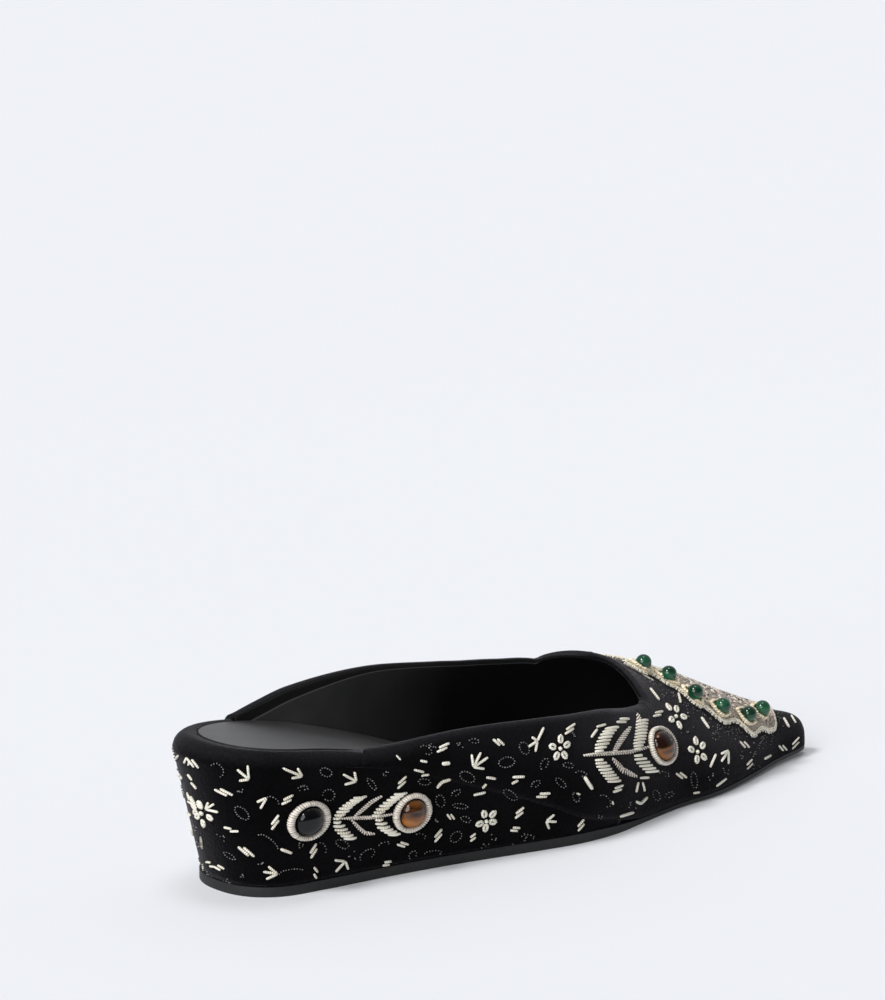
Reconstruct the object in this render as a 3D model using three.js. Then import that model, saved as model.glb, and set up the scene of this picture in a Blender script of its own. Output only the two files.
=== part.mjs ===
// Wedge mule, right foot: a pointed slip-on with a covered wedge, an open back and stone-set embroidery.
// Millimetres, +Z up. The toe points along +X and the outer side of the foot faces -Y.

import * as THREE from 'three';

// Driving dimensions
const LENGTH = 262;            // heel back to toe tip
const SOLE = 3.2;              // outsole thickness under the wedge
const SOLE_FRONT = 1.3;        // and under the forepart
const SOLE_THIN = [135, 175];  // it thins between these
const GAP = 0.3;               // clearance between neighbouring pieces
const FOOTBED = 4.5;           // padded footbed on its board
const FOOTBED_END = 246;       // front end of the footbed, inside the toe
const HEEL_ROUND = 32.5;       // depth of the heel's round end, seen from above
const HEEL_FULLNESS = 2.3;     // 2 is an ellipse, more is squarer
const TOE_ROUND = 7;           // depth of the toe's round tip, seen from above
const TOE_INSET = 1.9;         // how far the tip recedes for each millimetre of inset
const CROWN = 2.2;             // fullness of the section across the foot
const SHOULDER_MOST = 0.95;    // the vamp's shoulder lies at most this share of the crest high
const SWELL_FULL = 10;         // the wall swells in full where the half breadth is at least this
const RIM = 6.1;               // width of the velvet rim along the heel seat
const RIM_BACK = 9;            // and at its back
const RIM_END = [38, 41];      // the rim drops away here, where the upper takes over
const UPPER_BACK = 41.3;       // the upper's two back ends
const THROAT = 177;            // where the collar crosses the instep
const SWEEP = 12;              // the throat runs back this much towards its inner end
const SWEEP_CURVE = 2.5;       // how late it turns back
const CORNER = 3.5;            // length of the collar's rounded corner before the throat on the outer side
const CORNER_RISE = 2;         // how much the collar rises round it
const RISE_FADE = 27;          // length over which that rise dies away in front of the throat
const WALL = 2.4;              // velvet, backing and lining
const WALL_END = [50, 100];    // the rim's width narrows to the wall between these
const EDGE_ROLL = 0.8;         // the folded edge stands this proud along the collar
const BACK_LEAN = 11.5;        // the wedge's back runs in by this much on its way down
const SIDE_LEAN = 5;           // and its sides by this much
const LEAN_END = [60, 180];    // the lean fades out between these
const SOLE_LIP = 0.6;          // the outsole stands proud of the wedge
const SOLE_TUCK = 0;           // and this far under the upper's edge in the forepart
const WEDGE_END = 152;         // front edge of the wedge
const TREAD_END = 159;         // the sole leaves the floor here
const TOE_SPRING = 2;          // and has risen this much at the tip
const SPRING_CURVE = 1.5;      // how slowly it starts to rise
const PANEL = 1;               // thickness of the padded panel on the vamp
const PANEL_LIFT = 0.45;       // clearance between it and the curved vamp
const PANEL_SKEW = 1.3;        // its inner edge lies this much further forward, its outer edge further back
const PANEL_LEAN = 0.5;        // power that spreads its inner half further down the vamp
const NOTCH = 10;              // depth of the notch in its back edge
const NOTCH_CURVE = 1.5;       // how the notch narrows
const BEAD = 5.4;              // bead diameter
const STONE_HIGH = 3.8;        // height of a stone's dome
const GIRDLE = 0.6;            // height of its upright edge
const RING_HIGH = 1.6;         // height of the stitched ring round it

// Sections of the last, one row each, from the heel back to the toe tip.
// centre and half: middle and half breadth of the feather line; wedge: covered wedge under it;
// crest: instep height above the feather line; outer and inner: height of the topline on either side,
// or of the vamp's shoulder; bulge: how far the wall swells beyond the feather line.
const SECTIONS = [
  { x: 0, centre: -2.5, half: 24.8, wedge: 42.2, crest: 92, outer: 4, inner: 5, bulge: 0 },
  { x: 30, centre: 0, half: 26.8, wedge: 38.4, crest: 90, outer: 3.6, inner: 5, bulge: 0 },
  { x: 42, centre: 0.3, half: 28, wedge: 36.6, crest: 87, outer: 3.2, inner: 7.5, bulge: 0.2 },
  { x: 60, centre: 0, half: 28.7, wedge: 32.7, crest: 83, outer: 6.2, inner: 15.2, bulge: 0.4 },
  { x: 90, centre: -1.5, half: 29.7, wedge: 23.1, crest: 76, outer: 17.2, inner: 26.3, bulge: 0.8 },
  { x: 120, centre: -1.9, half: 32.7, wedge: 11.4, crest: 70, outer: 27.5, inner: 34.6, bulge: 1.2 },
  { x: 135, centre: -0.2, half: 35.2, wedge: 4.6, crest: 66, outer: 32.9, inner: 38.9, bulge: 1.5 },
  { x: 150, centre: 2.8, half: 36.2, wedge: 1.8, crest: 60.6, outer: 34.4, inner: 39.9, bulge: 1.6 },
  { x: 166, centre: 7.2, half: 35.7, wedge: 0, crest: 51.1, outer: 33.3, inner: 40.2, bulge: 1.6 },
  { x: 185, centre: 9.5, half: 33, wedge: 0, crest: 41.1, outer: 30.2, inner: 32.9, bulge: 1.3 },
  { x: 205, centre: 7.4, half: 28, wedge: 0, crest: 32.8, outer: 22.7, inner: 22.7, bulge: 1 },
  { x: 225, centre: 5.6, half: 19.2, wedge: 0, crest: 23, outer: 15.9, inner: 15.9, bulge: 0.7 },
  { x: 243, centre: 4.2, half: 10.2, wedge: 0, crest: 14.9, outer: 11.4, inner: 11.4, bulge: 0.4 },
  { x: 255, centre: 3.1, half: 5.5, wedge: 0, crest: 11.2, outer: 8.4, inner: 8.4, bulge: 0.2 },
  { x: 259.5, centre: 2.7, half: 4.2, wedge: 0, crest: 8.4, outer: 6.6, inner: 6.6, bulge: 0.1 },
  { x: 262, centre: 2.5, half: 3.4, wedge: 0, crest: 4.6, outer: 3.7, inner: 3.7, bulge: 0 },
];

// Border of the vamp panel, with a lobe to each bead: reach to either side, as a share of the half breadth.
const BORDER = [
  { x: 181.5, reach: 0.28 },
  { x: 187.5, reach: 0.365 },
  { x: 191, reach: 0.335 },
  { x: 195, reach: 0.455 },
  { x: 198, reach: 0.495 },
  { x: 202, reach: 0.645 },
  { x: 206, reach: 0.665 },
  { x: 212, reach: 0.77 },
  { x: 221, reach: 0.755 },
  { x: 227, reach: 0.86 },
  { x: 234, reach: 0.81 },
  { x: 239, reach: 0.83 },
  { x: 244, reach: 0.74 },
  { x: 246.5, reach: 0.37 },
];

// Pairs of beads on the panel; across is a share of the half breadth.
const BEADS = [
  { x: 187.3, across: 0.30 },
  { x: 195.5, across: 0.40 },
  { x: 201.8, across: 0.58 },
  { x: 212.3, across: 0.67 },
  { x: 225.8, across: 0.70 },
  { x: 236.5, across: 0.56 },
];

function smoothColumn(table, name) {
  const last = table.length - 1;
  const slope = table.map((row, i) => {
    const before = table[Math.max(i - 1, 0)];
    const after = table[Math.min(i + 1, last)];
    return (after[name] - before[name]) / (after.x - before.x);
  });
  return (x) => {
    let i = 0;
    while (i < last - 1 && x > table[i + 1].x) i += 1;
    const [from, to] = [table[i], table[i + 1]];
    const span = to.x - from.x;
    const t = THREE.MathUtils.clamp((x - from.x) / span, 0, 1);
    const ease = t * t * (3 - 2 * t);
    const leave = t * (1 - t) * (1 - t) * span * slope[i];
    const arrive = t * t * (t - 1) * span * slope[i + 1];
    return from[name] * (1 - ease) + to[name] * ease + leave + arrive;
  };
}

const centreAt = smoothColumn(SECTIONS, 'centre');
const halfAt = smoothColumn(SECTIONS, 'half');
const wedgeAt = smoothColumn(SECTIONS, 'wedge');
const crestAt = smoothColumn(SECTIONS, 'crest');
const outerAt = smoothColumn(SECTIONS, 'outer');
const innerAt = smoothColumn(SECTIONS, 'inner');
const bulgeAt = smoothColumn(SECTIONS, 'bulge');

const { clamp, lerp, mapLinear, smoothstep } = THREE.MathUtils;
const fade = (x, [from, to]) => 1 - smoothstep(x, from, to);

// Underside of the outsole: flat on the floor, then rising to the toe.
function floorAt(x) {
  const t = Math.max(0, (x - TREAD_END) / (LENGTH - TREAD_END));
  return TOE_SPRING * t ** SPRING_CURVE;
}

const soleAt = (x) => lerp(SOLE_FRONT, SOLE, fade(x, SOLE_THIN));

// Feather line: the top of the wedge, or of the outsole in front of it.
const featherAt = (x) => floorAt(x) + soleAt(x) + GAP + Math.max(0, wedgeAt(x));

// Half breadth of the plan outline, drawn in by inset; heelInset sets where its back starts.
function halfInset(x, inset, heelInset = inset) {
  const round = HEEL_ROUND - heelInset;
  const back = clamp(1 - (x - heelInset) / round, 0, 1);
  const heel = (1 - back ** HEEL_FULLNESS) ** (1 / HEEL_FULLNESS);
  const tip = LENGTH - TOE_INSET * inset;
  const front = clamp((x - tip + TOE_ROUND) / TOE_ROUND, 0, 1);
  return Math.max(0, halfAt(x) - inset) * heel * Math.sqrt(1 - front * front);
}

const leanAt = (x) => SIDE_LEAN * fade(x, LEAN_END);
const wallAt = (x) => lerp(WALL, RIM, fade(x, WALL_END));

// On the outer side the collar turns up into the throat round a corner; in front of it the rise dies away.
function cornerAt(x) {
  if (x > THROAT) return fade(x, [THROAT, THROAT + RISE_FADE]);
  const t = clamp(1 - (THROAT - x) / CORNER, 0, 1);
  return 1 - Math.sqrt(1 - t * t);
}

// Rows of a section: up the outer wall to the collar, over the crest, and down the inner wall.
const SIDE_ROWS = 5;
const TOP_ROWS = 12;
const ROWS = 2 * SIDE_ROWS + TOP_ROWS;

// Height of the topline, or of the vamp's shoulder, above the feather line on one side.
function shoulderAt(x, isOuter, crest) {
  const high = isOuter ? outerAt(x) + CORNER_RISE * cornerAt(x) : innerAt(x);
  return Math.min(high, SHOULDER_MOST * crest);
}

// A point of the last's section at x, drawn in by inset; across runs from -1, outer side, to 1, inner side.
function acrossPoint(x, across, inset) {
  const half = halfInset(x, inset);
  const crest = crestAt(x) - inset;
  const height = crest * Math.sqrt(1 - Math.abs(across) ** CROWN);
  const rise = Math.min(1, height / shoulderAt(x, across < 0, crest));
  const swell = bulgeAt(x) * Math.sin(Math.PI * rise) * Math.min(1, half / SWELL_FULL);
  return [x, centreAt(x) + across * half + Math.sign(across) * swell, featherAt(x) + GAP + height];
}

// The same by rows: evenly up each wall, and evenly across from shoulder to shoulder.
function lastPoint(x, row, inset) {
  const crest = crestAt(x) - inset;
  const acrossOf = (height) => (1 - (height / crest) ** 2) ** (1 / CROWN);
  const outer = shoulderAt(x, true, crest);
  const inner = shoulderAt(x, false, crest);
  const twin = ROWS - row;
  if (row < SIDE_ROWS) return acrossPoint(x, -acrossOf(outer * row / SIDE_ROWS), inset);
  if (twin < SIDE_ROWS) return acrossPoint(x, acrossOf(inner * twin / SIDE_ROWS), inset);
  return acrossPoint(x, lerp(-acrossOf(outer), acrossOf(inner), (row - SIDE_ROWS) / TOP_ROWS), inset);
}

// The wedge leans back: a point of its foot lies in front of the point of its top edge at x.
const underX = (x) => x + BACK_LEAN * Math.max(0, 1 - x / LEAN_END[0]);

// A point of the wedge's wall; share runs from 0 at the sole to 1 at the feather line.
function wedgePoint(x, share, side) {
  const under = underX(x);
  const foot = [under, centreAt(under) + side * halfInset(under, leanAt(under), BACK_LEAN), soleAt(under) + GAP];
  const top = [x, centreAt(x) + side * halfInset(x, 0), featherAt(x)];
  return foot.map((value, axis) => lerp(value, top[axis], share));
}

// Stations along the foot, closer together round the heel, the throat's corners and the toe.
const HEEL_STEPS = 9;
const QUARTER_STEPS = 15;
const CORNER_STEPS = 3;
const VAMP_STEPS = 13;
const TOE_STEPS = 5;

function spread(from, to, steps, ease = (t) => t) {
  return Array.from({ length: steps }, (_, i) => from + (to - from) * ease(i / steps));
}
const easeOut = (t) => Math.sin(t * Math.PI / 2);
const easeIn = (t) => 1 - Math.cos(t * Math.PI / 2);

function heelToToe(back, front) {
  return [
    ...spread(back, HEEL_ROUND, HEEL_STEPS, easeIn),
    ...spread(HEEL_ROUND, THROAT, QUARTER_STEPS),
    ...spread(THROAT, front - TOE_ROUND, VAMP_STEPS),
    ...spread(front - TOE_ROUND, front, TOE_STEPS, easeOut),
    front,
  ];
}

// A closed surface, gathered from quads whose equal corners are merged.
class Skin {
  constructor() {
    this.points = [];
    this.found = new Map();
    this.faces = [];
  }

  vertex(point) {
    const key = point.map((value) => Math.round(value * 1000)).join();
    if (!this.found.has(key)) {
      this.found.set(key, this.points.length / 3);
      this.points.push(...point);
    }
    return this.found.get(key);
  }

  triangle(...corners) {
    const ids = corners.map((corner) => this.vertex(corner));
    if (new Set(ids).size === 3) this.faces.push(...ids);
  }

  quad(a, b, c, d) {
    this.triangle(a, b, c);
    this.triangle(a, c, d);
  }

  // Quads between two lines of points, facing right of the way they run when a lies below b.
  strip(a, b) {
    for (let i = 0; i + 1 < a.length; i += 1) this.quad(a[i], a[i + 1], b[i + 1], b[i]);
  }

  geometry() {
    const made = new THREE.BufferGeometry();
    made.setAttribute('position', new THREE.Float32BufferAttribute(this.points, 3));
    made.setIndex(this.faces);
    return made;
  }
}

const shoe = new THREE.Group();

function addPiece(name, geometry, material) {
  const piece = new THREE.Mesh(geometry, material);
  geometry.computeVertexNormals();
  piece.name = name;
  shoe.add(piece);
}

const velvet = new THREE.MeshStandardMaterial({ color: 0x0d0d10, roughness: 0.95, metalness: 0 });
const leather = new THREE.MeshStandardMaterial({ color: 0x2c2c2d, roughness: 0.5, metalness: 0 });
const soleRubber = new THREE.MeshStandardMaterial({ color: 0x1d1d1e, roughness: 0.6, metalness: 0 });

// How far a row of the throat lies towards its inner end: 0 up to the middle, 1 at the end and below it.
const inwardAt = (row) => clamp(2 * (row - SIDE_ROWS) / TOP_ROWS - 1, 0, 1);

// Where a station of the upper lies on one row, for a toe tip there.
function stationX(x, row, tip) {
  const throat = THROAT - SWEEP * inwardAt(row) ** SWEEP_CURVE;
  if (x <= THROAT) return mapLinear(x, UPPER_BACK, THROAT, UPPER_BACK, throat);
  return mapLinear(x, THROAT, LENGTH, throat, tip);
}

// Upper: one wall, open at the collar, at the back and underneath.
function upperGeometry() {
  const stations = [
    ...spread(UPPER_BACK, THROAT - CORNER, QUARTER_STEPS),
    ...spread(THROAT - CORNER, THROAT, CORNER_STEPS, easeOut),
    ...spread(THROAT, LENGTH - TOE_ROUND, VAMP_STEPS),
    ...spread(LENGTH - TOE_ROUND, LENGTH, TOE_STEPS, easeOut),
    LENGTH,
  ];
  const throat = QUARTER_STEPS + CORNER_STEPS;
  const tip = LENGTH - TOE_INSET * WALL;
  const rows = Array.from({ length: ROWS + 1 }, (_, row) => row);
  const outside = stations.map((x) => rows.map((row) => lastPoint(stationX(x, row, LENGTH), row, 0)));
  const inside = stations.map((x) => rows.map((row) => {
    const at = stationX(x, row, tip);
    return lastPoint(at, row, wallAt(at));
  }));
  const skin = new Skin();
  const isOpen = (i, row) => i < throat && row >= SIDE_ROWS && row < ROWS - SIDE_ROWS;
  for (let i = 0; i + 1 < stations.length; i += 1) {
    for (let row = 0; row < ROWS; row += 1) {
      if (isOpen(i, row)) continue;
      skin.quad(outside[i][row], outside[i + 1][row], outside[i + 1][row + 1], outside[i][row + 1]);
      skin.quad(inside[i][row], inside[i][row + 1], inside[i + 1][row + 1], inside[i + 1][row]);
    }
    skin.quad(outside[i][0], inside[i][0], inside[i + 1][0], outside[i + 1][0]);
    skin.quad(outside[i][ROWS], outside[i + 1][ROWS], inside[i + 1][ROWS], inside[i][ROWS]);
  }
  // The folded edge follows the collar forward on the inner side, across the throat, and back again.
  const edge = [];
  for (let i = 0; i <= throat; i += 1) edge.push([i, ROWS - SIDE_ROWS]);
  for (let row = ROWS - SIDE_ROWS - 1; row >= SIDE_ROWS; row -= 1) edge.push([throat, row]);
  for (let i = throat - 1; i >= 0; i -= 1) edge.push([i, SIDE_ROWS]);
  const outer = edge.map(([i, row]) => outside[i][row]);
  const inner = edge.map(([i, row]) => inside[i][row]);
  const rolled = edge.map(([i, row], n) => {
    const middle = outer[n].map((value, axis) => (value + inner[n][axis]) / 2);
    const crossing = i === throat && row > SIDE_ROWS && row < ROWS - SIDE_ROWS;
    const upright = crossing ? inwardAt(row) : 1;
    middle[0] -= EDGE_ROLL * (1 - upright);
    middle[2] += EDGE_ROLL * upright;
    return middle;
  });
  skin.strip(rolled, outer);
  skin.strip(inner, rolled);
  // The two back ends.
  const end = edge.length - 1;
  const wallRows = Array.from({ length: SIDE_ROWS }, (_, row) => row);
  for (const row of wallRows) {
    const twin = ROWS - row;
    skin.quad(inside[0][row], outside[0][row], outside[0][row + 1], inside[0][row + 1]);
    skin.quad(outside[0][twin], inside[0][twin], inside[0][twin - 1], outside[0][twin - 1]);
  }
  skin.triangle(outer[end], rolled[end], inner[end]);
  skin.triangle(inner[0], rolled[0], outer[0]);
  return skin.geometry();
}

// A slab between two outlines; each level gives its points along the outer and the inner side.
function slabGeometry(levels) {
  const skin = new Skin();
  const loops = levels.map(({ outer, inner }) => [...outer, ...[...inner].reverse(), outer[0]]);
  for (let i = 0; i + 1 < loops.length; i += 1) skin.strip(loops[i], loops[i + 1]);
  const bottom = levels[0];
  const top = levels[levels.length - 1];
  skin.strip(bottom.inner, bottom.outer);
  skin.strip(top.outer, top.inner);
  return skin.geometry();
}

function outline(stations, halfOf, heightOf) {
  const along = (side) => stations.map((x) => [x, centreAt(x) + side * halfOf(x), heightOf(x)]);
  return { outer: along(-1), inner: along(1) };
}

// Wedge: sides leaning in to the sole, and at the heel a rounded rim round the seat of the footbed.
function wedgeGeometry() {
  const stations = [
    ...spread(0, HEEL_ROUND, HEEL_STEPS, easeIn),
    HEEL_ROUND,
    RIM_END[0],
    ...spread(RIM_END[1], WEDGE_END, QUARTER_STEPS),
    WEDGE_END,
  ];
  const seat = FOOTBED + GAP;
  const rimAt = (x) => seat * clamp((RIM_END[1] - x) / (RIM_END[1] - RIM_END[0]), 0, 1);
  const along = (share, side) => stations.map((x) => wedgePoint(x, share, side));
  const shares = [...spread(0, 1, SIDE_ROWS), 1];
  const levels = shares.map((share) => ({ outer: along(share, -1), inner: along(share, 1) }));
  const rim = [
    { inset: 0.08 * RIM, rise: 0.4 },
    { inset: 0.27 * RIM, rise: 0.75 },
    { inset: 0.6 * RIM, rise: 1 },
    { inset: RIM, rise: 0.92 },
    { inset: RIM, rise: 0 },
  ];
  for (const { inset, rise } of rim) {
    const backInset = inset * RIM_BACK / RIM;
    const inward = stations.map((x) => x + backInset * Math.max(0, 1 - x / HEEL_ROUND));
    levels.push(outline(inward, (x) => halfInset(x, inset, backInset), (x) => featherAt(x) + rise * rimAt(x)));
  }
  return slabGeometry(levels);
}

function outsoleGeometry() {
  const back = BACK_LEAN - SOLE_LIP;
  const stations = heelToToe(back, LENGTH - TOE_INSET * SOLE_TUCK);
  const lipAt = (x) => lerp(-SOLE_TUCK, SOLE_LIP, fade(x, SOLE_THIN));
  const halfOf = (x) => halfInset(x, leanAt(x) - lipAt(x), back);
  return slabGeometry([
    outline(stations, halfOf, floorAt),
    outline(stations, halfOf, (x) => floorAt(x) + soleAt(x)),
  ]);
}

// Footbed: fills the seat behind and the upper's inside in front, narrowing with the lining towards its top.
function footbedGeometry() {
  const back = RIM_BACK + GAP;
  const stations = [
    ...spread(back, HEEL_ROUND, HEEL_STEPS, easeIn),
    ...spread(HEEL_ROUND, THROAT, QUARTER_STEPS),
    ...spread(THROAT, FOOTBED_END, VAMP_STEPS),
    FOOTBED_END,
  ];
  const narrowing = (x, height) => (1 - (height / (crestAt(x) - WALL)) ** 2) ** (1 / CROWN);
  const halfOf = (height) => (x) => narrowing(x, height) * (halfInset(x, wallAt(x), back) - 2 * GAP);
  return slabGeometry([
    outline(stations, halfOf(GAP), (x) => featherAt(x) + GAP),
    outline(stations, halfOf(GAP + FOOTBED), (x) => featherAt(x) + GAP + FOOTBED),
  ]);
}

// A seat on a curved wall round its point at x and share: it lays local points (along, up, high) on it.
const PROBE = 0.001;
const SEAT_ROUNDS = 5;

function seatOn(wall, x, share) {
  const at = (u, v) => new THREE.Vector3(...wall(u, v));
  const slopes = (u, v) => [
    at(u + PROBE, v).sub(at(u - PROBE, v)).divideScalar(2 * PROBE),
    at(u, v + PROBE).sub(at(u, v - PROBE)).divideScalar(2 * PROBE),
  ];
  const origin = at(x, share);
  const [alongSlope, shareSlope] = slopes(x, share);
  const outward = origin.clone().sub(new THREE.Vector3(origin.x, centreAt(x), featherAt(x)));
  const normal = alongSlope.clone().cross(shareSlope).normalize();
  if (normal.dot(outward) < 0) normal.negate();
  const along = alongSlope.clone().normalize();
  const up = normal.clone().cross(along);
  return (s, t, high) => {
    let [u, v] = [x, share];
    for (let round = 0; round < SEAT_ROUNDS; round += 1) {
      const miss = origin.clone().addScaledVector(along, s).addScaledVector(up, t).sub(at(u, v));
      const [du, dv] = slopes(u, v);
      const [a, b, c, d] = [du.dot(along), dv.dot(along), du.dot(up), dv.dot(up)];
      const [p, q] = [miss.dot(along), miss.dot(up)];
      u += (p * d - b * q) / (a * d - b * c);
      v += (a * q - p * c) / (a * d - b * c);
    }
    return at(u, v).addScaledVector(normal, high).toArray();
  };
}

// A piece turned round a seat; each level gives its oval's half length and half breadth, and its height.
function turnedGeometry(seat, levels, segments) {
  const skin = new Skin();
  const loops = levels.map(({ length, breadth, high }) => Array.from({ length: segments + 1 }, (_, i) => {
    const angle = (i % segments) * 2 * Math.PI / segments;
    return seat(length * Math.cos(angle), breadth * Math.sin(angle), high);
  }));
  for (let i = 0; i + 1 < loops.length; i += 1) skin.strip(loops[i], loops[i + 1]);
  return skin.geometry();
}

const vampWall = (x, across) => acrossPoint(x, across, 0);
const vampSide = (x, share, side) => vampWall(x, side * share);

// A share of the half breadth on the panel: the inner half, above 0, is spread further down.
const panelShare = (share) => (share > 0 ? share ** PANEL_LEAN : share);

// Vamp panel: a padded cloth that follows the vamp, with a lobed border and a notch in its back edge.
const PANEL_STEPS = 40;
const PANEL_COLUMNS = 12;
const reachAt = smoothColumn(BORDER, 'reach');

function panelGeometry() {
  const [back, front] = [BORDER[0].x, BORDER[BORDER.length - 1].x];
  const columns = [...spread(-1, 1, PANEL_COLUMNS), 1];
  const lines = columns.map((share) => {
    const start = back + NOTCH * (1 - Math.abs(share)) ** NOTCH_CURVE;
    const stations = [...spread(start, front, PANEL_STEPS), front];
    const reach = (x) => Math.abs(share) * panelShare(Math.sign(share) * reachAt(x));
    return stations.map((x) => seatOn(vampWall, x + PANEL_SKEW * share, reach(x)));
  });
  const layer = (high) => lines.map((line) => line.map((seat) => seat(0, 0, high)));
  const [under, over] = [layer(PANEL_LIFT), layer(PANEL_LIFT + PANEL)];
  const skin = new Skin();
  for (let i = 0; i < PANEL_COLUMNS; i += 1) {
    skin.strip(over[i], over[i + 1]);
    skin.strip(under[i + 1], under[i]);
  }
  const round = (layers) => [
    ...layers[0],
    ...layers.map((line) => line[PANEL_STEPS]),
    ...[...layers[PANEL_COLUMNS]].reverse(),
    ...layers.map((line) => line[0]).reverse(),
  ];
  skin.strip(round(under), round(over));
  return skin.geometry();
}

// Beads: balls with a flattened foot, resting on the panel.
const BEAD_SEGMENTS = 12;
const BEAD_LEVELS = [-45, -15, 15, 45, 70, 90];

function beadGeometry(x, across) {
  const foot = PANEL_LIFT + PANEL + GAP;
  const radius = BEAD / 2;
  const sine = (angle) => Math.sin(THREE.MathUtils.degToRad(angle));
  const levels = BEAD_LEVELS.map((angle) => {
    const reach = radius * sine(90 - angle);
    return { length: reach, breadth: reach, high: foot + radius * (sine(angle) - sine(BEAD_LEVELS[0])) };
  });
  const seat = seatOn(vampWall, x + PANEL_SKEW * Math.sign(across), panelShare(across));
  return turnedGeometry(seat, [{ length: 0, breadth: 0, high: foot }, ...levels], BEAD_SEGMENTS);
}

// Oval stones, each in a stitched ring.
const STONE_SEGMENTS = 20;
const DOME_LEVELS = [0, 30, 60, 90];

function stoneGeometry(seat, stone) {
  const [length, breadth] = stone.map((size) => size / 2);
  const dome = DOME_LEVELS.map((angle) => {
    const turn = THREE.MathUtils.degToRad(angle);
    const high = GAP + GIRDLE + (STONE_HIGH - GIRDLE) * Math.sin(turn);
    return { length: length * Math.cos(turn), breadth: breadth * Math.cos(turn), high };
  });
  const foot = [{ length: 0, breadth: 0, high: GAP }, { length, breadth, high: GAP }];
  return turnedGeometry(seat, [...foot, ...dome], STONE_SEGMENTS);
}

function ringGeometry(seat, stone, ring) {
  const level = (share, high) => ({
    length: lerp(stone[0] / 2 + GAP, ring[0] / 2, share),
    breadth: lerp(stone[1] / 2 + GAP, ring[1] / 2, share),
    high: GAP + high,
  });
  const shoulder = RING_HIGH / 2;
  const foot = [level(0, 0), level(1, 0)];
  const top = [level(1, shoulder), level(0.5, RING_HIGH), level(0, shoulder)];
  return turnedGeometry(seat, [...foot, ...top, foot[0]], STONE_SEGMENTS);
}

const goldwork = new THREE.MeshStandardMaterial({ color: 0xa89470, roughness: 0.6, metalness: 0.2 });
const greenStone = new THREE.MeshStandardMaterial({ color: 0x4c6a60, roughness: 0.15, metalness: 0 });
const brownStone = new THREE.MeshStandardMaterial({ color: 0x4a2a12, roughness: 0.12, metalness: 0 });
const blackStone = new THREE.MeshStandardMaterial({ color: 0x0a0a0b, roughness: 0.1, metalness: 0 });

// Where the stones sit on both sides: share is of the wedge's height, or of the half breadth on the vamp.
// stone and ring: length and breadth of the oval and of the ring round it.
const STONES = [
  { name: 'heel', x: 27, share: 0.54, stone: [9.8, 9.5], ring: [16, 13.4], wall: wedgePoint, material: blackStone },
  { name: 'wedge', x: 69, share: 0.57, stone: [9, 9.5], ring: [14.6, 13.6], wall: wedgePoint, material: brownStone },
  { name: 'vamp', x: 176.4, share: 0.90, stone: [11, 9.5], ring: [15.8, 13.2], wall: vampSide, material: brownStone },
];

addPiece('outsole', outsoleGeometry(), soleRubber);
addPiece('wedge', wedgeGeometry(), velvet);
addPiece('footbed', footbedGeometry(), leather);
addPiece('upper', upperGeometry(), velvet);
addPiece('vamp_panel', panelGeometry(), goldwork);
for (const [i, { x, across }] of BEADS.entries()) {
  addPiece(`bead_outer_${i + 1}`, beadGeometry(x, -across), greenStone);
  addPiece(`bead_inner_${i + 1}`, beadGeometry(x, across), greenStone);
}
for (const { name, x, share, stone, ring, wall, material } of STONES) {
  for (const [place, side] of [['outer', -1], ['inner', 1]]) {
    const seat = seatOn((u, v) => wall(u, v, side), x, share);
    addPiece(`${name}_stone_${place}`, stoneGeometry(seat, stone), material);
    addPiece(`${name}_ring_${place}`, ringGeometry(seat, stone, ring), goldwork);
  }
}

// The origin is the middle of the box's underside.
const box = new THREE.Box3().setFromObject(shoe);
const middle = box.getCenter(new THREE.Vector3());
for (const piece of shoe.children) piece.geometry.translate(-middle.x, -middle.y, -box.min.z);

export default shoe;
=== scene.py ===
import math
import random
from collections import namedtuple
from functools import lru_cache
from itertools import compress

import bmesh
import bpy
import numpy as np
from mathutils import Matrix, Vector
from mathutils.bvhtree import BVHTree


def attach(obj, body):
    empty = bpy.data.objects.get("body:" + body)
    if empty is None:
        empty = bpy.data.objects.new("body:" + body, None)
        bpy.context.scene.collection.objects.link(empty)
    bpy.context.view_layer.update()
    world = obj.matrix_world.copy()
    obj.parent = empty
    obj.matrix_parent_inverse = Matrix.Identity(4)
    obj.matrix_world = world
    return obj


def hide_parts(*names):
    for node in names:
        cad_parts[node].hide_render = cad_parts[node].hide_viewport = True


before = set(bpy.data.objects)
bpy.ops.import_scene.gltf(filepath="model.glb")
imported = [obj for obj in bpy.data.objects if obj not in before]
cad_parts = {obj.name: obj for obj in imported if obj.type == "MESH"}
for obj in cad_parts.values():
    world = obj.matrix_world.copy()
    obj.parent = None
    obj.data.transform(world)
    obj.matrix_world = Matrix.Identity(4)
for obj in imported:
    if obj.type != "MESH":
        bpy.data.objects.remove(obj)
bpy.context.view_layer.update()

# Sizes of the shoe in millimetres, x from the heel's back to the toe's tip
LENGTH = 262
SOLE = 3.2
SOLE_FRONT = 1.3
SOLE_THIN = (135, 175)
GAP = 0.3
FOOTBED = 4.5
FOOTBED_END = 246
HEEL_ROUND = 32.5
HEEL_FULLNESS = 2.3
TOE_ROUND = 7
TOE_INSET = 1.9
CROWN = 2.2
SHOULDER_MOST = 0.95
SWELL_FULL = 10
RIM = 6.1
RIM_BACK = 9
RIM_SHARE = 0.97
RIM_FADE = (44, 95)
UPPER_TAIL = 36
TAIL_FADE = (36, 46)
TAIL_SUNK = 0.12
TAIL_PROUD = 0.2
EDGE_TUCK = 0.1
TUCK_ROWS = 4
HEM_TUCK = 0.2
TAIL_LOW = 0.6
THROAT = 177
SWEEP = 12
SWEEP_CURVE = 2.5
CORNER = 3.5
CORNER_RISE = 2
RISE_FADE = 27
WALL = 2.4
WALL_END = (50, 100)
EDGE_ROLL = 0.8
ROLL_DEEP = 4.4
ROLL_SHALLOW = 1.6
ROLL_FADE = (44, 95)
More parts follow.
